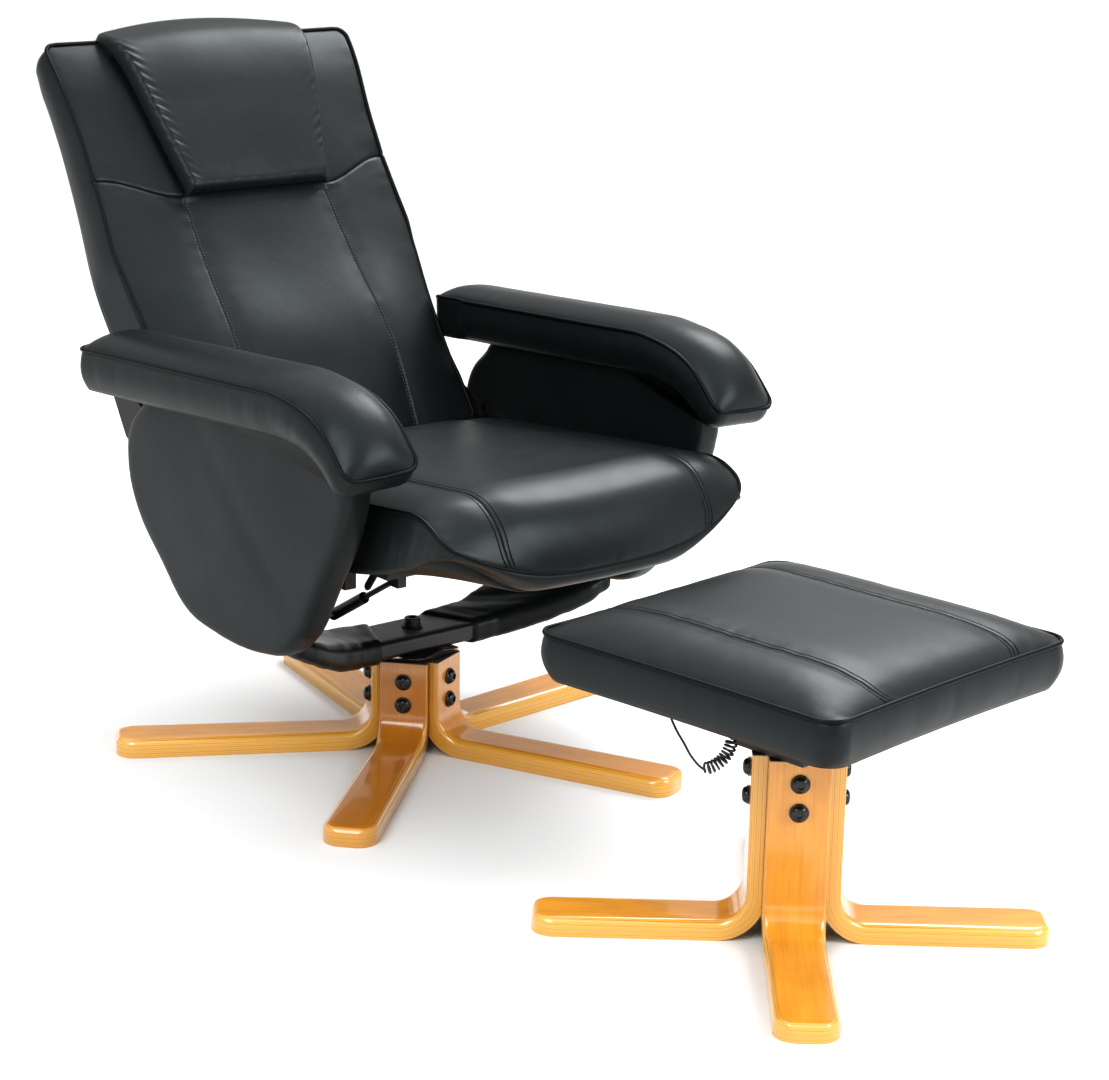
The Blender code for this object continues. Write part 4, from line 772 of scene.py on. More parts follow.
def powder_coat(name):
    return coated(name, colours().steel, 0.42, (120.0, 3.0, 0.34, 0.50), (1100.0, 0.00008, 0.6),
                  metallic=0.25)


def bolt_black(name):
    """Polished black zinc."""
    return coated(name, colours().steel, 0.20, (200.0, 3.0, 0.14, 0.26), metallic=0.2, specular=0.6)


def bright_steel(name):
    look = Finish(name, (0.42, 0.43, 0.45), 0.28, metallic=1.0)
    look.rough(look.noise(1.0, 4.0, look.stretch(look.place, (900.0, 900.0, 30.0))), 0.20, 0.36)
    return look


def plate_steel(name):
    """Black steel of the cradle's plate, with a painted grey reflection on its upward faces, mottled at
    random.
    """
    grey = colours().plate
    look = coated(name, grey, 0.40, (90.0, 4.0, 0.30, 0.46), (900.0, 0.00006, 0.5))
    mottled_top_reflection = look.ramp(look.noise(14.0, 4.0), ((0.3, [c * 0.7 for c in grey]), (0.7, grey)))
    # Painted reflection: faces that point up are coloured light grey, and the rest stay black steel.
    look.colour(look.blend(look.attribute("upward"), colours().steel, mottled_top_reflection))
    return look


def dark_board(name):
    """Boards under the padding, near black, with their grain just visible."""
    look = Finish(name, (0.020, 0.017, 0.015), 0.62)
    grain = look.noise(1.0, 5.0, look.stretch(look.place, (160.0, 8.0, 160.0)))
    look.colour(look.ramp(grain, ((0.35, (0.012, 0.011, 0.010)), (0.65, (0.034, 0.029, 0.025)))))
    look.bump(grain, 0.0002, 0.4)
    return look


def moulded(name):
    """Black moulded plastic with a fine spark-eroded texture."""
    return coated(name, (0.014, 0.014, 0.015), 0.45, (300.0, 2.0, 0.40, 0.52), (1500.0, 0.00006, 0.6))


def pad_of(mesh, fill, body, *nodes):
    """A padded piece in leather that stands for its plain solids."""
    piece = settle(mesh, finish_of("black_leather", leather), body, "black_faux_leather", *nodes)
    return piece


def piped(name, points, body):
    settle(tube(name, points, sizes().piping), finish_of("welting", welting), body, "black_faux_leather")


def sewn(name, lines, body, make=thread):
    settle(stitched(name, lines), finish_of(make.__name__, make), body, "black_faux_leather")


# Arm pads

def arm_at(s):
    """The piping line at a length from its rear end: y, z and slope."""
    if s <= ARM_RUN:
        return ARM_REAR[0] - s * math.cos(ARM_SLOPE), ARM_REAR[1] + s * math.sin(ARM_SLOPE), ARM_SLOPE
    heading = ARM_SLOPE - min(s - ARM_RUN, ARM_ARC) / ARM_BEND_RADIUS
    y = ARM_BEND[0] - ARM_BEND_RADIUS * (math.sin(ARM_SLOPE) - math.sin(heading))
    z = ARM_BEND[1] + ARM_BEND_RADIUS * (math.cos(heading) - math.cos(ARM_SLOPE))
    rest = max(s - ARM_RUN - ARM_ARC, 0.0)
    return y - rest * math.cos(heading), z + rest * math.sin(heading), heading


def arm_place(side, across, s, rise):
    y, z, heading = arm_at(s)
    up = rise - ARM_TILT * across
    x = side * (ARM_MIDDLE + across)
    return HOME + Vector((x, y + up * math.sin(heading), z + up * math.cos(heading)))


def arm_beside(u, v):
    """1 on the inner rear corner of an arm pad, which the back passes as it tilts."""
    return ease((-u - 0.6) / 0.3) * ease((0.085 - ARM_LENGTH * (1 + v) / 2) / 0.030)


def arm_puff(u, s):
    """The fuller roll of the padding over the nose."""
    t = min(max((s - ARM_RUN - 0.03) / (ARM_LENGTH - ARM_RUN), 0.0), 1.0)
    return ARM_PUFF * arch(t) ** 2 * mix(0.6, 1.0, 1 - u * u)


def arm_shapes(side):
    """The shaping functions of one arm pad: top and side."""

    def end_of(s):
        """The corner radius at the nearer end, and how far off that end is."""
        return ARM_CORNERS[s > ARM_LENGTH / 2], min(s, ARM_LENGTH - s)

    def top(u, v):
        s = ARM_LENGTH * (1 + v) / 2
        width = rounded_half(ARM_HALF, *end_of(s))
        edge = (1 - abs(u)) * width
        border = min(edge, s, ARM_LENGTH - s)
        ends = 1 - abs(v) ** 22
        crown = ARM_CROWN * (1 - abs(u) ** 2.6) * ends
        folds = 0.8 * sizes().pucker * gather(s, edge, 11 + side + sign(u))
        bent = dip(s - ARM_RUN - 0.05, 0.07) * ease((u + 0.2) / 0.8)
        folds += 0.0034 * bent * gather(s + edge * 0.8, edge, 3 + side, 0.010, 0.022)
        loose = 0.0010 * slack((u * width, s, side)) * ends
        rise = crown + arm_puff(u, s) + (folds + loose) * ease(border / FADE) - tuck(border)
        return arm_place(side, u * width, s, rise)

    def flank(u, v, w):
        s = ARM_LENGTH * (1 + v) / 2
        corner, from_end = end_of(s)
        nose = ease((s - ARM_RUN) / (ARM_LENGTH - ARM_RUN))
        bulge = ARM_BULGE * arch(w) - mix(*ARM_TURN_IN, nose) * w ** 3.5
        bent = 0.0006 + 0.0016 * dip(s - ARM_RUN - 0.08, 0.08)
        wave = bent * arch(w) * gather(s, 0.012 * w, 21 + side + sign(u), 0.030, 0.05)
        swell = (bulge + wave) * (1 - arm_beside(u, v))
        ahead = max(1 - from_end / corner, 0.0)
        out = u * rounded_half(ARM_HALF, corner, from_end) + sign(u) * swell * math.sqrt(1 - ahead * ahead)
        rise = (arm_puff(u, s) - tuck(0.0)) * (1 - w) - mix(*ARM_THICK, nose) * w
        return arm_place(side, out, s + sign(v) * swell * ahead, rise)

    return top, flank


class ARMCHAIR_OT_arms(bpy.types.Operator):
    """Make both arm pads with their piping"""
    bl_idname = "armchair.arms"
    bl_label = "Arm pads"

    def execute(self, context):
        columns = mirrored(graded((0.0, 1.0), (18,), 0.5))
        rows = graded((-1.0, 0.1, 1.0), (64, 72), 0.6)
        for label, side in SIDES:
            top, flank = arm_shapes(side)
            mesh = quilt("arm_cushion_" + label, columns, rows, top, flank, 9)
            pad_of(mesh, 0.8, "swivel_frame", "arm_pad_" + label)
            piped("arm_piping_" + label, piping_line(top, flank, columns, rows, arm_beside), "swivel_frame")
        return {"FINISHED"}


# Backrest

def back_lean(s):
    low, high, top = BACK_LEANS
    if s < BACK_ROLL:
        return mix(low, high, s / BACK_ROLL)
    return mix(high, top, (s - BACK_ROLL) / (BACK_LENGTH - BACK_ROLL))


def back_line(step):
    """The front piping line, tabled once: y and z after each step up it."""
    y, z = BACK_FOOT
    table = [(y, z)]
    for k in range(BACK_STEPS):
        lean = back_lean(step * (k + 0.5))
        y += step * math.sin(lean)
        z += step * math.cos(lean)
        table.append((y, z))
    return table


BACK_STEP = BACK_LENGTH * BACK_PAST / BACK_STEPS
BACK_TABLE = back_line(BACK_STEP)


def back_place(x, s, out):
    """A point of the back: across, up it, and out from its piping line towards the sitter."""
    lean = back_lean(s)
    if s < 0:
        y, z = BACK_FOOT[0] + s * math.sin(lean), BACK_FOOT[1] + s * math.cos(lean)
    else:
        at = min(s / BACK_STEP, BACK_STEPS - 1)
        k = int(at)
        y, z = [mix(a, b, at - k) for a, b in zip(BACK_TABLE[k], BACK_TABLE[k + 1])]
    return HOME + Vector((x, y - out * math.cos(lean), z + out * math.sin(lean)))


def back_half(s):
    t = s / BACK_LENGTH
    half = mix(*BACK_HALVES, t) + BACK_WING * (dip(t - 0.47, 0.13) + ease((t - 0.75) / 0.25))
    return rounded_half(half, BACK_CORNER, max(min(s, BACK_LENGTH - s), 0.0))


def back_depth(s):
    t = s / BACK_LENGTH
    foot, shoulder, top = BACK_DEPTHS
    if t < BACK_SHOULDER:
        return mix(foot, shoulder, t / BACK_SHOULDER)
    return mix(shoulder, top, ease((t - BACK_SHOULDER) / (1 - BACK_SHOULDER)))


def back_height(u, v):
    """Length up the back of a grid place. The yoke seam is the row at YOKE_ROW."""
    yoke = mix(*YOKE, ease((abs(u) - BACK_SEAM) / (1 - BACK_SEAM)))
    if v < YOKE_ROW:
        return yoke * (1 + v) / (1 + YOKE_ROW)
    return mix(yoke, BACK_LENGTH, (v - YOKE_ROW) / (1 - YOKE_ROW))


def back_seam(s):
    """Distance of the sewn lines from the middle."""
    return mix(*BACK_SEAM_X, min(s / YOKE[0], 1.0))


def back_across(u, s):
    """Distance from the middle of a grid place. The sewn lines are the columns at BACK_SEAM."""
    share = abs(u)
    if share < BACK_SEAM:
        return sign(u) * back_seam(s) * share / BACK_SEAM
    return sign(u) * mix(back_seam(s), back_half(s), (share - BACK_SEAM) / (1 - BACK_SEAM))


def back_ends(s):
    """1 over most of the back, falling to 0 at its foot and at its top."""
    return max(1 - abs(2 * s / BACK_LENGTH - 1) ** 6, 0.0)


def back_crown(x, s):
    """How far the back's padding stands out from its piping line."""
    lumbar = dip(s / BACK_LENGTH - 0.22, 0.20)
    share = min(abs(x) / back_half(min(s, BACK_LENGTH)), 1.0)
    return mix(*BACK_CROWNS, lumbar) * (1 - share ** 3.4) * back_ends(s)


def back_top(u, v):
    """The front of the back's cover, with its sewn lines, yoke seam and gathers."""
    s = back_height(u, v)
    x = back_across(u, s)
    half = back_half(s)
    edge = half - abs(x)
    below = ease((YOKE[0] - s) / 0.012)
    seam = abs(abs(x) - back_seam(s))
    yoke = abs(back_height(u, YOKE_ROW) - s)
    beside = ease((abs(u) - BACK_SEAM + 0.02) / 0.04)
    cut = below * seam_cut(seam, 0.0024) + beside * (0.0016 * dip(yoke, 0.0030) + 0.0010 * dip(yoke, 0.018))
    side = sign(u)
    folds = sizes().pucker * (gather(s, edge, 31 + side, 0.030, 0.030)
                              + 0.8 * below * gather(s, seam, 41 + side, 0.022, 0.016)
                              + 1.3 * beside * gather(x, yoke, 51 + side, 0.016, 0.020))
    loose = 0.0022 * slack((x, s, 0.2), 0.13) * back_ends(s) * (1 - (abs(x) / half) ** 4)
    border = min(edge, max(s, 0.0), BACK_LENGTH - s)
    return back_place(x, s, back_crown(x, s) - cut + folds * ease(border / FADE) + loose - tuck(border))


def back_seams(u, v):
    """How near a place of the back is to a twin-stitched seam, and to the sewn lines and the yoke seam."""
    s = back_height(u, v)
    seam = near(abs(back_across(u, s)) - back_seam(s)) * BACK_SEAM_MARK * (v < YOKE_ROW)
    yoke = near(back_height(u, YOKE_ROW) - s) * (abs(u) > BACK_SEAM - 0.001)
    return 0.0, max(seam, yoke)


def back_beside(u, v):
    """1 on the stretch of the back's sides that passes the arm pads."""
    s = back_height(u, v)
    return ease((abs(u) - 0.9) / 0.08) * ease((s - 0.07) / 0.04) * ease((0.34 - s) / 0.05)


def back_flank(u, v, w):
    """The gusset, from the front piping to the rear edge."""
    s = back_height(u, v)
    x = back_across(u, s)
    bulge = BACK_BULGE * arch(w)
    wave = 0.0012 * arch(w) * gather(s, w * 0.03, 61 + sign(u), 0.07, 0.08)
    if abs(u) > RIM:
        x += sign(u) * (bulge + wave) * (1 - back_beside(u, v))
    rise = sign(v) * bulge if abs(v) > RIM else 0.0
    return back_place(x, s + rise, -back_depth(s) * w)


def cover_flank(u, v, w, rise=0.0):
    """The panel behind the back, from its face at w = 0 to the board at w = 1."""
    low, high = COVER_SPAN
    s = mix(low, high, (1 + v) / 2)
    half = rounded_half(COVER_HALF, COVER_CORNER, min(s - low, high - s)) + 0.002 * arch(w)
    return back_place(u * half, s, -back_depth(s) - mix(COVER_THICK, CLEAR, w) - rise)


def cover_top(u, v):
    s = mix(*COVER_SPAN, (1 + v) / 2)
    x = (cover_flank(u, v, 0.0) - HOME).x
    ends = (1 - abs(u) ** 6) * (1 - abs(v) ** 10)
    return cover_flank(u, v, 0.0, (0.0030 + 0.0012 * slack((x, s, 5.0), 0.15)) * ends)


class ARMCHAIR_OT_back(bpy.types.Operator):
    """Make the back's padding with its seams, piping and rear cover"""
    bl_idname = "armchair.back"
    bl_label = "Back"

    def execute(self, context):
        columns = mirrored(graded((0.0, BACK_SEAM, 1.0), (26, 30), 0.82))
        rows = graded((-1.0, YOKE_ROW, 1.0), (84, 50), 0.8)
        mesh = quilt("back_padding", columns, rows, back_top, back_flank, 9, True, back_seams)
        pad_of(mesh, 0.75, "backrest", "back_cushion")
        piped("back_piping", piping_line(back_top, back_flank, columns, rows, back_beside), "backrest")
        lines = seam_rows(back_top, BACK_SEAM, -0.97, YOKE_ROW - 0.01, sizes().twin * 0.45)
        sewn("back_stitching", lines, "backrest")
        self.rear_cover()
        return {"FINISHED"}

    def rear_cover(self):
        """A thinly padded panel over the board behind the back."""
        columns = mirrored(graded((0.0, 1.0), (20,), 0.4))
        rows = graded((-1.0, 1.0), (60,), 0.5)
        mesh = quilt("back_cover", columns, rows, cover_top, cover_flank, 4, True)
        pad_of(mesh, 0.3, "backrest", "back_board")
        piped("back_cover_piping", [cover_top(u, v) for u, v in border_of(columns, rows)], "backrest")


# Head pillow

def pillow_height(u, v):
    end = BACK_LENGTH + PILLOW_OVER * (1 - 0.55 * u * u)
    return mix(PILLOW_START, end, (1 + v) / 2)


def pillow_half(v):
    from_end = (1 - v) / 2 * (BACK_LENGTH - PILLOW_START)
    return rounded_half(mix(*PILLOW_HALVES, (1 + v) / 2), PILLOW_CORNER, from_end)


def pillow_top(u, v):
    """The pillow's face, rounded over to its sewn sides, which gather."""
    s = pillow_height(u, v)
    half = pillow_half(v)
    x = u * half
    low = s - PILLOW_START
    high = pillow_height(u, 1.0) - s
    edge = (1 - abs(u)) * half
    base = back_crown(x, s) * 0.55 + 0.002
    puff = mix(0.40, 1.0, rolled(edge, 0.015)) * rolled(low + 0.007, 0.024) * rolled(high, 0.085)
    side = sign(u)
    phase = (s + edge * 0.75) / PILLOW_FOLD_PITCH + 0.35 * ripple(s / 0.05, 71 + side, 0.3)
    strength = max(0.55 + ripple(s / 0.030, 91 + side, 1.3), 0.0) * (1.0 if u < 0 else 0.2)
    folds = PILLOW_FOLD * strength * (arch(phase) ** 2 - 0.5) * dip(edge - 0.012, 0.011)
    folds *= ease(low / 0.03) * ease(high / 0.05)
    folds += 0.0012 * gather(x, low, 81, 0.020, 0.020) * ease(low / FADE)
    loose = 0.0018 * slack((x, s, 0.9), 0.10) * ease(edge / 0.02) * ease(low / 0.02)
    return back_place(x, s, base + PILLOW_CROWN * puff + folds + loose)


def pillow_flank(u, v, w):
    """Sides that turn in under the face, and the flap that laps behind the top."""
    s = pillow_height(u, v)
    over = ease((s - BACK_LENGTH + 0.044) / 0.022)
    drawn = PILLOW_TUCK * ease(w / 0.35) * (1 - over)
    low = s + drawn if v < -RIM else s
    under = back_place(u * (pillow_half(v) - drawn), low, -mix(0.010, PILLOW_WRAP, over))
    out = pillow_top(u, v).lerp(under, w)
    if abs(u) > RIM:
        out.x -= sign(u) * drawn * (1 - w)
    if v > RIM:
        out.z += 0.004 * arch(w)
    return out


class ARMCHAIR_OT_pillow(bpy.types.Operator):
    """Make the head pillow"""
    bl_idname = "armchair.pillow"
    bl_label = "Head pillow"

    def execute(self, context):
        columns = mirrored([math.sin(math.pi / 2 * k / 48) for k in range(49)])
        rows = graded((-1.0, 1.0), (150,), 0.6)
        mesh = quilt("pillow", columns, rows, pillow_top, pillow_flank, 8, True)
        pad_of(mesh, 0.8, "backrest", "head_pillow")
        return {"FINISHED"}


# Seat

def seat_top(u, v):
    """The seat's face from its rear edge, over the nose, to the front piping."""
    t = (1 + v) / 2
    flat = SEAT_REAR - SEAT_NOSE
    length = flat + SEAT_NOSE_RADIUS * mix(*SEAT_TURNS, abs(u) ** 3)
    s = t * length
    half = rounded_half(SEAT_HALF, SEAT_CORNER, length + SEAT_CORNER * 0.35 - s)
    x = u * half
    edge = half - abs(x)
    ends = rolled(t, 0.25) * ease((length - s) / 0.09)
    seam = abs(abs(u) - SEAT_SEAM) * SEAT_HALF
    side = sign(u)
    folds = sizes().pucker * (1.1 * gather(s, edge, 91 + side, 0.026, 0.030)
                              + 0.8 * gather(s, seam, 101 + side, 0.020, 0.015)
                              + 1.2 * gather(x, length - s, 111, 0.024, 0.026))
    loose = 0.0020 * slack((x, s, 1.7), 0.12)
    border = min(edge, length - s)
    crown = (SEAT_CROWN * (1 - abs(u) ** 5) - seam_cut(seam, 0.0034) + loose) * ends
    radius = SEAT_NOSE_RADIUS + crown + folds * ease(border / FADE) - tuck(border)
    angle = max(s - flat, 0.0) / SEAT_NOSE_RADIUS
    y = SEAT_REAR - min(s, flat) - radius * math.sin(angle)
    z = mix(*SEAT_HEIGHTS, min(s / flat, 1.0)) - SEAT_NOSE_RADIUS + radius * math.cos(angle)
    y -= SEAT_BOW * (1 - u * u) * ease((s - flat) / (length - flat))
    return HOME + Vector((x, y, z))


def seat_seams(u, v):
    return near((abs(u) - SEAT_SEAM) * SEAT_HALF), 0.0


def seat_under(u, v):
    """The seat's underside, which is drawn in and lifts towards its front corners."""
    edge = seat_top(u, v) - HOME
    forward = max((v + 1) / 2 - 0.58, 0.0) / 0.42
    lift = SEAT_LIFT * forward ** 1.8 * ease((abs(u) - 0.42) / 0.58)
    run = SEAT_REAR - (seat_top(u, 1.0) - HOME).y
    y = SEAT_REAR - (SEAT_REAR - edge.y) * (1 - SEAT_TUCK / run)
    return HOME + Vector((edge.x * 0.975, y, SEAT_BASE + lift + CLEAR))


def seat_flank(u, v, w):
    start, end = seat_top(u, v), seat_under(u, v)
    out = start.lerp(end, w)
    out.y = mix(start.y, end.y, w ** 2.5)
    wave = gather((1 + v) / 2 * 0.6, w * 0.02, 121 + sign(u), 0.024, 0.05)
    bulge = (SEAT_BULGE + (0.0006 + 0.0012 * ease((v - 0.55) / 0.3)) * wave) * arch(w)
    if abs(u) > RIM:
        out.x += sign(u) * bulge
    if v > RIM:
        out.y -= bulge
    return out


class ARMCHAIR_OT_seat(bpy.types.Operator):
    """Make the seat's padding with its sewn lines and piping"""
    bl_idname = "armchair.seat"
    bl_label = "Seat"

    def execute(self, context):
        columns = mirrored(graded((0.0, SEAT_SEAM, 1.0), (30, 24), 0.82))
        rows = graded((-1.0, 0.55, 1.0), (64, 64), 0.5)
        mesh = quilt("seat_padding", columns, rows, seat_top, seat_flank, 9, True, seat_seams)
        pad_of(mesh, 0.75, "seat", "seat_cushion")
        piped("seat_piping", piping_line(seat_top, seat_flank, columns, rows), "seat")
        lines = seam_rows(seat_top, SEAT_SEAM, -0.9, 0.985, sizes().twin, 160, -1)
        sewn("seat_stitching", lines, "seat", welting)
        return {"FINISHED"}


# Footstool pad

def pad_plan(u, v, inset=0.0):
    half = PAD_HALF - inset
    y = v * half
    x = u * rounded_half(half, PAD_CORNER, half - abs(y))
    x *= 1 - PAD_PULL * (1 - v * v)
    y *= 1 - PAD_PULL * (1 - u * u)
    c, s = math.cos(PAD_TURN), math.sin(PAD_TURN)
    return x * c - y * s, x * s + y * c


def pad_top(u, v):
    """The footstool's face: crowned, with two sewn lines from front to rear."""
    x, y = pad_plan(u, v)
    edge = min(1 - abs(u), 1 - abs(v)) * PAD_HALF
    seam = abs(abs(u) - PAD_SEAM) * PAD_HALF
    on_end = abs(v) > abs(u)
    along = (u if on_end else v) * PAD_HALF
    folds = sizes().pucker * (1.2 * gather(along, edge, 131 + on_end, 0.026, 0.026)
                              + 0.8 * gather(v * PAD_HALF, seam, 141 + sign(u), 0.020, 0.015))
    loose = 0.0018 * slack((x, y, 2.9), 0.12) * (1 - u ** 4)
    crown = (PAD_CROWN * (1 - u ** 6) - seam_cut(seam, 0.0036) + loose) * (1 - v ** 6)
    rise = crown + folds * ease(edge / FADE) - tuck(edge)
    return STOOL_HOME + Vector((x, y, PAD_BASE + PAD_BAND + rise))


def pad_seams(u, v):
    return near((abs(u) - PAD_SEAM) * PAD_HALF), 0.0


def pad_flank(u, v, w):
    on_end = abs(v) > RIM
    along = (u if on_end else v) * PAD_HALF
    wave = 0.0012 * gather(along, w * 0.03, 151 + on_end, 0.05, 0.06)
    x, y = pad_plan(u, v, 0.006 * w ** 3 - (PAD_BULGE + wave) * arch(w))
    return STOOL_HOME + Vector((x, y, PAD_BASE + PAD_BAND * (1 - w) + CLEAR * w))


class ARMCHAIR_OT_footstool_pad(bpy.types.Operator):
    """Make the footstool's padding with its sewn lines and piping"""
    bl_idname = "armchair.footstool_pad"
    bl_label = "Footstool pad"

    def execute(self, context):
        columns = mirrored(graded((0.0, PAD_SEAM, 1.0), (26, 24), 0.82))
        rows = mirrored(graded((0.0, 1.0), (50,), 0.75))
        mesh = quilt("stool_padding", columns, rows, pad_top, pad_flank, 9, seams=pad_seams)
        pad_of(mesh, 0.75, "footstool", "stool_cushion")
        piped("stool_piping", piping_line(pad_top, pad_flank, columns, rows), "footstool")
        lines = seam_rows(pad_top, PAD_SEAM, -0.97, 0.97, sizes().twin)
        sewn("stool_stitching", lines, "footstool", welting)
        return {"FINISHED"}


# Side panels and cradle, from the solids' own forms

def remeshed(name, node, voxel, keep=(), grow=0.0):
    """A copy of a solid, merged, cut to one side of planes, swollen, and remeshed evenly."""
    bm = bmesh.new()
    bm.from_mesh(frame["nodes"][node].data)
    bmesh.ops.remove_doubles(bm, verts=bm.verts, dist=WELD)
    for place, normal in keep:
        cut_away(bm, place, normal)
    bmesh.ops.recalc_face_normals(bm, faces=bm.faces)
    if grow:
        bm.normal_update()
        for vert in bm.verts:
            vert.co += vert.normal * grow
    item = bpy.data.objects.new(name, mesh_from(name, bm))
    step = item.modifiers.new("even", "REMESH")
    step.mode = "VOXEL"
    step.voxel_size = voxel
    return evaluated(item)


def reshaped(name, mesh, rounds, move):
    """Smooth a mesh, then move each of its points by move(place, normal)."""
    bm = taken(mesh)
    for _ in range(rounds):
        bmesh.ops.smooth_vert(bm, verts=bm.verts, factor=0.5, use_axis_x=True, use_axis_y=True,
                              use_axis_z=True)
    bm.normal_update()
    shifts = [move(vert.co, vert.normal) for vert in bm.verts]
    for vert, shift in zip(bm.verts, shifts):
        vert.co += shift
    return mesh_from(name, bm)


class ARMCHAIR_OT_side_panels(bpy.types.Operator):
    """Make the padded side panels under the arms"""
    bl_idname = "armchair.side_panels"
    bl_label = "Side panels"

    def execute(self, context):
        for label, side in SIDES:
            node = "side_panel_" + label

            def move(place, normal):
                here = place - HOME
                flat = ease((abs(normal.x) - 0.6) / 0.35)
                crease = here.z - 0.46 - (here.y - 0.02) * 0.95
                fold = PANEL_FOLD * dip(crease, 0.030) * dip(here.y + 0.05, 0.13)
                if normal.x * side > 0:
                    swell = PANEL_SWELL * dip(here.y + 0.02, 0.20) * dip(here.z - 0.38, 0.14) - fold
                else:
                    swell = -3.5 * fold
                return normal * (flat * (swell + 0.0011 * slack(here, 0.10)) - 0.0004)

            mesh = reshaped("panel_" + label, remeshed("panel_" + label, node, PANEL_VOXEL), 6, move)
            pad_of(mesh, 0.4, "swivel_frame", node)
        return {"FINISHED"}


class ARMCHAIR_OT_cradle(bpy.types.Operator):
    """Make the cradle's plate and the leather sleeves on its arms"""
    bl_idname = "armchair.cradle"
    bl_label = "Cradle"

    def execute(self, context):
        plate = remeshed("cradle_plate", "cradle", PLATE_VOXEL)
        plate = reshaped("cradle_plate", plate, 1, lambda place, normal: Vector())
        # upward marks the faces that point up; there the plate gets its painted grey reflection.
        upward = plate.attributes.new("upward", "FLOAT", "POINT")
        for vert in plate.vertices:
            upward.data[vert.index].value = ease((vert.normal.z - 0.7) / 0.25)
        settle(plate, finish_of("plate_steel", plate_steel), "swivel_frame", "painted_cradle", "cradle")
        for label, side in SIDES:
            self.sleeve("cradle_sleeve_" + label, side)
        return {"FINISHED"}

    def sleeve(self, name, side):
        """The leather that is wrapped round one arm of the cradle."""
        inner, outer = SLEEVE_SPAN
        slant = Vector((-side, -0.45, 0)).normalized()
        keep = ((HOME + Vector((side * inner, 0, 0)), slant),
                (HOME + Vector((side * outer, 0, 0)), Vector((side, 0, 0))))

        def move(place, normal):
            here = place - HOME
            x = abs(here.x)
            free = ease((x - inner - 0.005) / 0.02) * ease((outer - x) / 0.012)
            wave = ripple(x / 0.045 + here.y / 0.05, here.y / 0.10, side * 4.0 + here.z / 0.08)
            fine = ripple(x / 0.016 + here.y / 0.03, here.y / 0.06, 9.0 + side)
            return normal * (0.0016 + free * (0.0034 * wave + 0.0012 * fine))

        mesh = remeshed(name, "cradle", SLEEVE_VOXEL, keep, SLEEVE_THICK)
        pad_of(reshaped(name, mesh, 3, move), 0.2, "swivel_frame")


# Plywood legs and bolts

def leg_turn(kind, number):
    """Where one leg of a set stands: its hub's place, turned to the leg's bearing."""
    bearing = kind.bearing + 2 * math.pi * number / len(kind.tones)
    return Matrix.Translation(kind.home) @ Matrix.Rotation(bearing, 4, "Z")


def leg_form(name, kind, number):
    """One leg: a blank bent from upright to foot, with a round tip, eased edges and mitred inner corners."""
    top, face, thick = kind.height, kind.face, kind.thick
    rise = top - thick - LEG_BEND
    turn = LEG_BEND * math.pi / 2
    foot = rise + turn
    length = foot + kind.reach - face - LEG_BEND
    flat = length - LEG_TIP - foot
    stops = [rise * k / 3 for k in range(3)] + [rise + turn * k / 14 for k in range(15)]
    stops += [foot + flat * k / 6 for k in range(1, 7)]
    stops += [length - LEG_TIP * (1 - math.sin(math.pi / 2 * k / 12)) for k in range(1, 13)]

    def plan_half(s):
        return rounded_half(mix(kind.width_top, kind.width_tip, s / length) / 2, LEG_TIP, length - s)

    def rounding(u, s):
        """How far the eased edge lies under the outer face."""
        radius = mix(*LEG_ROUND, ease((s - rise) / turn))
        inside = max(min((1 - abs(u)) * plan_half(s), length - s), 0.0)
        away = 1 - min(inside / radius, 1.0)
        return radius * (1 - math.sqrt(1 - away * away))

    def surface(u, s, deep):
        if s <= rise:
            r, z = face - deep, top - s
        elif s <= foot:
            angle = (s - rise) / LEG_BEND
            r = face + LEG_BEND - (LEG_BEND + deep) * math.cos(angle)
            z = thick + LEG_BEND - (LEG_BEND + deep) * math.sin(angle)
        else:
            r, z = face + LEG_BEND + s - foot, thick - deep
        return Vector((r, u * plan_half(s), z))

    def edge(u, s, w):
        return surface(u, s, mix(rounding(u, s), thick, w))

    bm = taken(quilt(name, mirrored(LEG_COLUMNS), stops, lambda u, s: edge(u, s, 0.0), edge, 1, True))
    mitre = math.pi / len(kind.tones)
    for side in (-1, 1):
        out = Vector((-math.sin(mitre), side * math.cos(mitre), 0))
        cut_away(bm, out * -LEG_ROOM, out)
    bmesh.ops.recalc_face_normals(bm, faces=bm.faces)
    sharp = [item for item in bm.edges if item.is_manifold and item.calc_face_angle() > math.radians(48)]
    bmesh.ops.bevel(bm, geom=sharp, offset=LEG_BEVEL, offset_type="OFFSET", affect="EDGES", segments=2,
                    profile=0.5, material=-1, clamp_overlap=True)
    floats = bm.verts.layers.float
    floats.remove(floats["along"])
    layers = [floats.get(key) or floats.new(key) for key in LEG_GRAIN]
    centre = Vector((face + LEG_BEND, 0, thick + LEG_BEND))
    for vert in bm.verts:
        r, y, z = vert.co
        if z > centre.z:
            deep, run = face - r, top - z
        elif r < centre.x:
            deep = math.hypot(r - centre.x, z - centre.z) - LEG_BEND
            run = rise + LEG_BEND * math.atan2(centre.z - z, centre.x - r)
        else:
            deep, run = thick - z, foot + r - centre.x
        for layer, value in zip(layers, (run, y, deep, kind.tones[number])):
            vert[layer] = value
    bmesh.ops.transform(bm, matrix=leg_turn(kind, number), verts=bm.verts)
    return mesh_from(name, bm, 40)


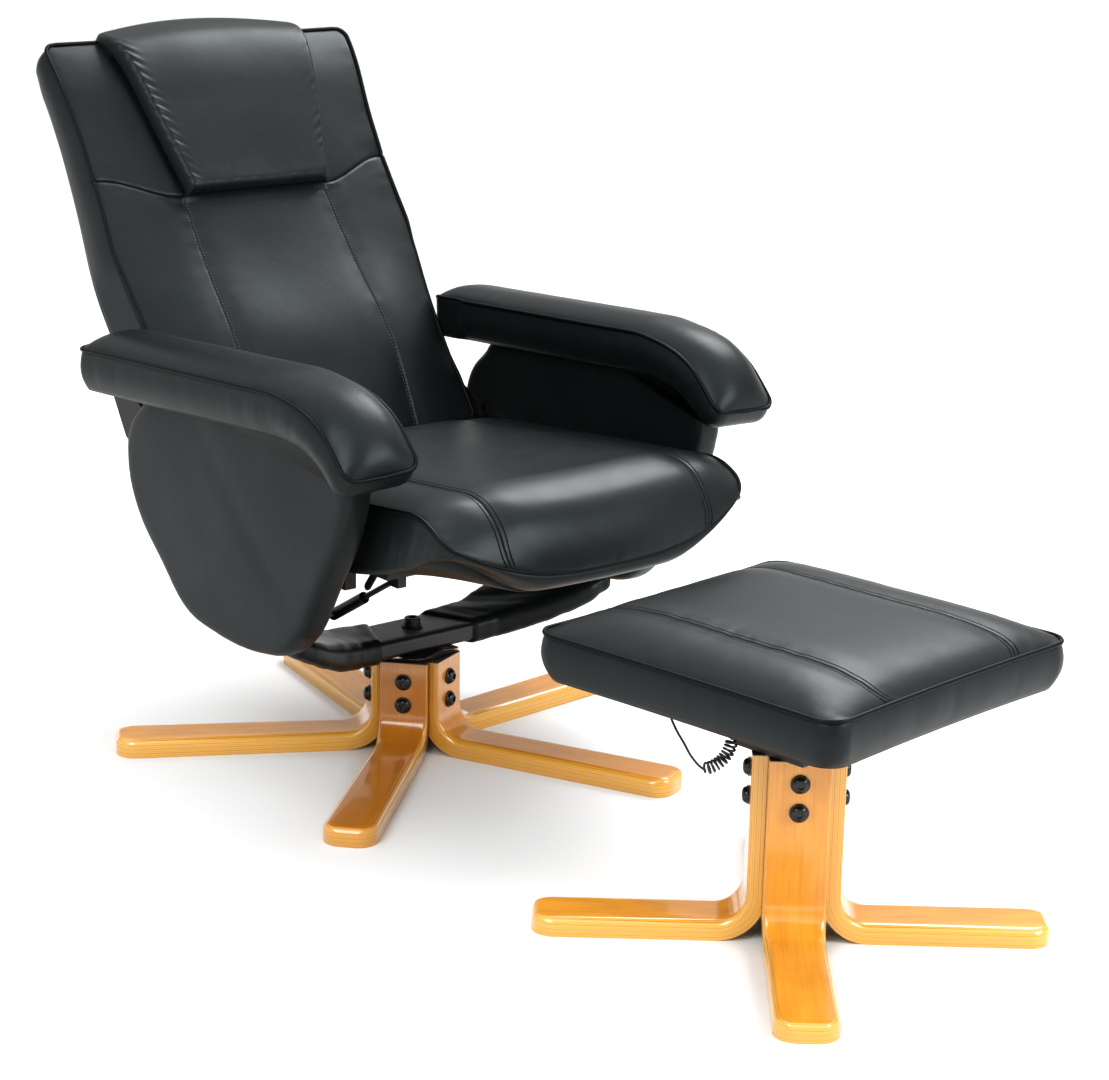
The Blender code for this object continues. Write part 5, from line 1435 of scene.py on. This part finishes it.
def bolt_forms(name, kind):
    """Domed socket bolts on washers, one pair on each upright."""
    meshes = []
    for number in range(len(kind.tones)):
        for z in kind.bolts:
            out = Matrix.Translation((kind.face + CLEAR, 0, z)) @ Matrix.Rotation(math.pi / 2, 4, "Y")
            meshes.append(spun("bolt", BOLT_OUTLINE, leg_turn(kind, number) @ out))
    return mesh_from(name, taken(*meshes), 40)


class ARMCHAIR_OT_legs(bpy.types.Operator):
    """Make the bent plywood legs of the chair and the footstool, with their bolts"""
    bl_idname = "armchair.legs"
    bl_label = "Legs"

    def execute(self, context):
        wood = finish_of("lacquered_plywood", timber)
        steel = finish_of("bolt_black", bolt_black)
        for prefix, kind, body in (("chair", CHAIR_LEG, "chair_base"), ("stool", STOOL_LEG, "footstool")):
            count = len(kind.tones)
            for i in range(count):
                mesh = leg_form(f"{prefix}_plywood_{i + 1}", kind, i)
                settle(mesh, wood, body, "lacquered_plywood", f"{prefix}_leg_{i + 1}")
            nodes = [f"{prefix}_leg_bolt_{i + 1}" for i in range(len(kind.bolts) * count)]
            settle(bolt_forms(prefix + "_bolts", kind), steel, body, "black_steel", *nodes)
        return {"FINISHED"}


# Curly cord

def smooth_route(points, per_span=6):
    """Points of a smooth curve through a route's own points."""
    out = []
    for i in range(1, len(points) - 2):
        a, b, c, d = points[i - 1:i + 3]
        for k in range(per_span):
            t = k / per_span
            out.append(0.5 * (2 * b + (c - a) * t + (2 * a - 5 * b + 4 * c - d) * t ** 2
                              + (3 * b - a - 3 * c + d) * t ** 3))
    return out + [points[-2]]


def cord_route():
    """Straight out of the gland, curls round an arc, then the plain lead up to its socket."""
    start = Vector((*CORD_GLAND, CORD_TOP - FITTING_DROP))
    end = Vector((*CORD_SOCKET, CORD_TOP - FITTING_DROP))
    outward = Vector((math.cos(CORD_ARC_BEARING), math.sin(CORD_ARC_BEARING), 0.0))
    down = Vector((0, 0, -1))
    across = down.cross(outward)
    drop = down * 2 * CORD_RADIUS
    first = start + drop * 2
    count = CORD_CURLS * CORD_CURL_POINTS
    points = [start, start + drop, first]
    for k in range(1, count + 1):
        t = k / count
        bend = t * math.pi / 2
        centre = first + (outward * (1 - math.cos(bend)) + down * math.sin(bend)) * CORD_ARC_RADIUS
        inward = outward * math.cos(bend) - down * math.sin(bend)
        radius = CORD_CURL_RADIUS * ease(t * CORD_CURLS * 1.2) * ease((1 - t) * CORD_CURLS * 1.2)
        angle = 2 * math.pi * CORD_CURLS * t
        points.append(centre + (inward * math.cos(angle) + across * math.sin(angle)) * radius)
    lead = points[-2:] + [Vector(place) for place in CORD_LEAD] + [end + drop, end, end - drop]
    turn = Matrix.Translation(STOOL_HOME) @ Matrix.Rotation(STOOL_TURN, 4, "Z")
    return [turn @ point for point in points[:-1] + smooth_route(lead)]


class ARMCHAIR_OT_cord(bpy.types.Operator):
    """Make the curly cord under the footstool"""
    bl_idname = "armchair.cord"
    bl_label = "Curly cord"

    def execute(self, context):
        route = cord_route()
        length = sum((b - a).length for a, b in zip(route, route[1:]))
        mesh = tube("coiled_lead", route, CORD_RADIUS, closed=False, sides=3)
        piece = settle(mesh, finish_of("black_plastic", moulded), "footstool", "black_plastic", "curly_cord")
        tuple(route[0])
        [tuple(p) for p in route]
        return {"FINISHED"}


class ARMCHAIR_OT_fittings(bpy.types.Operator):
    """Finish the steel, boards and motors that keep their own solids"""
    bl_idname = "armchair.fittings"
    bl_label = "Fittings"

    def execute(self, context):
        groups = (
            ("black_steel", powder_coat, (
                "chair_hub", "stool_hub", "stool_box", "swivel_spindle", "swivel_cap_bolt",
                "front_link_left", "front_link_right", "hinge_arm_left", "hinge_arm_right",
                "lock_cylinder", "lock_lever", "lock_rod")),
            ("bright_steel", bright_steel, ("swivel_bearing",)),
            ("dark_board", dark_board, ("seat_frame", "stool_board")),
            ("black_plastic", moulded, (
                "back_motor_lower", "back_motor_upper", "seat_motor", "stool_motor",
                "control_box", "cord_gland", "cord_socket")),
        )
        for name, make, nodes in groups:
            for node in nodes:
                mesh = frame["nodes"][node].data
                mesh.materials.clear()
                mesh.materials.append(finish_of(name, make))
        return {"FINISHED"}


class ARMCHAIR_OT_stage(bpy.types.Operator):
    """Set the camera, the pale floor and the soft studio light"""
    bl_idname = "armchair.stage"
    bl_label = "Stage"

    def execute(self, context):
        scene = context.scene
        settings = scene.armchair_stage
        self.camera(scene)
        self.floor(scene, settings.floor)
        scene.world = bpy.data.worlds.new("studio")
        scene.world.use_nodes = True
        self.surround(scene.world.node_tree, settings.surround)
        for name, (place, size) in LAMPS.items():
            self.lamp(scene, name, Vector(place), size, getattr(settings, name))
        scene.view_settings.view_transform = "Standard"
        scene.view_settings.look = "Medium High Contrast"
        return {"FINISHED"}

    def camera(self, scene):
        """The photograph's view."""
        data = bpy.data.cameras.new("camera")
        data.sensor_width = CAMERA_SENSOR
        data.lens = CAMERA_LENS
        camera = bpy.data.objects.new("camera", data)
        scene.collection.objects.link(camera)
        roll = Euler((0.0, 0.0, CAMERA_ROLL)).to_quaternion()
        camera.rotation_mode = "QUATERNION"
        camera.rotation_quaternion = Vector(CAMERA_LOOK).to_track_quat("-Z", "Y") @ roll
        camera.location = HOME + Vector(CAMERA_PLACE)
        scene.camera = camera

    def floor(self, scene, pale):
        bm = bmesh.new()
        bmesh.ops.create_grid(bm, x_segments=1, y_segments=1, size=FLOOR_SIZE)
        floor = bpy.data.objects.new("floor", mesh_from("floor", bm))
        scene.collection.objects.link(floor)
        look = Finish("studio_floor", pale, 0.9, specular=0.0)
        look.colour(look.ramp(look.noise(3.0, 2.0), ((0.3, [c * 0.99 for c in pale]), (0.7, pale))))
        floor.data.materials.append(look.material)

    def surround(self, tree, strengths):
        """A white studio with a pale horizon, dimmer walls and a bright ceiling."""
        horizon, wall, ceiling = strengths
        levels = (horizon, wall, mix(wall, ceiling, UPPER_WALL), ceiling)
        way = tree.nodes.new("ShaderNodeTexCoord")
        split = tree.nodes.new("ShaderNodeSeparateXYZ")
        ramp = tree.nodes.new("ShaderNodeValToRGB")
        set_stops(ramp, [(stop, [level / ceiling] * 3) for stop, level in zip(SURROUND_STOPS, levels)])
        background = tree.nodes["Background"]
        background.inputs["Strength"].default_value = ceiling
        tree.links.new(way.outputs["Generated"], split.inputs[0])
        tree.links.new(split.outputs["Z"], ramp.inputs["Fac"])
        tree.links.new(ramp.outputs["Color"], background.inputs["Color"])

    def lamp(self, scene, name, place, size, power):
        """A square lamp that faces the middle of the set."""
        data = bpy.data.lights.new(name, "AREA")
        data.shape = "SQUARE"
        data.size = size
        data.energy = power
        lamp = bpy.data.objects.new(name, data)
        lamp.location = SET_MIDDLE + place
        lamp.rotation_mode = "QUATERNION"
        lamp.rotation_quaternion = (-place).to_track_quat("-Z", "Y")
        scene.collection.objects.link(lamp)


OPERATORS = (
    ARMCHAIR_OT_stage, ARMCHAIR_OT_cord, ARMCHAIR_OT_legs, ARMCHAIR_OT_cradle, ARMCHAIR_OT_side_panels,
    ARMCHAIR_OT_arms, ARMCHAIR_OT_back, ARMCHAIR_OT_pillow, ARMCHAIR_OT_seat, ARMCHAIR_OT_footstool_pad,
    ARMCHAIR_OT_fittings,
)
GROUPS = {
    "armchair_sizes": ArmchairSizes,
    "armchair_colours": ArmchairColours,
    "armchair_stage": ArmchairStage,
}


class ARMCHAIR_PT_panel(bpy.types.Panel):
    """Sizes, colours and pieces of the armchair"""
    bl_idname = "ARMCHAIR_PT_panel"
    bl_label = "Armchair"
    bl_space_type = "VIEW_3D"
    bl_region_type = "UI"
    bl_category = "Armchair"

    def draw(self, context):
        for name, kind in GROUPS.items():
            for key in kind.__annotations__:
                self.layout.prop(getattr(context.scene, name), key)
        for operator in OPERATORS:
            self.layout.operator(operator.bl_idname)


def register():
    for kind in (*GROUPS.values(), *OPERATORS, ARMCHAIR_PT_panel):
        bpy.utils.register_class(kind)
    for name, kind in GROUPS.items():
        setattr(bpy.types.Scene, name, PointerProperty(type=kind))


def unregister():
    for name in GROUPS:
        delattr(bpy.types.Scene, name)
    for kind in (ARMCHAIR_PT_panel, *reversed(OPERATORS), *GROUPS.values()):
        bpy.utils.unregister_class(kind)


def main():
    register()
    for operator in OPERATORS:
        group, name = operator.bl_idname.split(".")
        getattr(getattr(bpy.ops, group), name)()


if __name__ == "__main__":
    main()
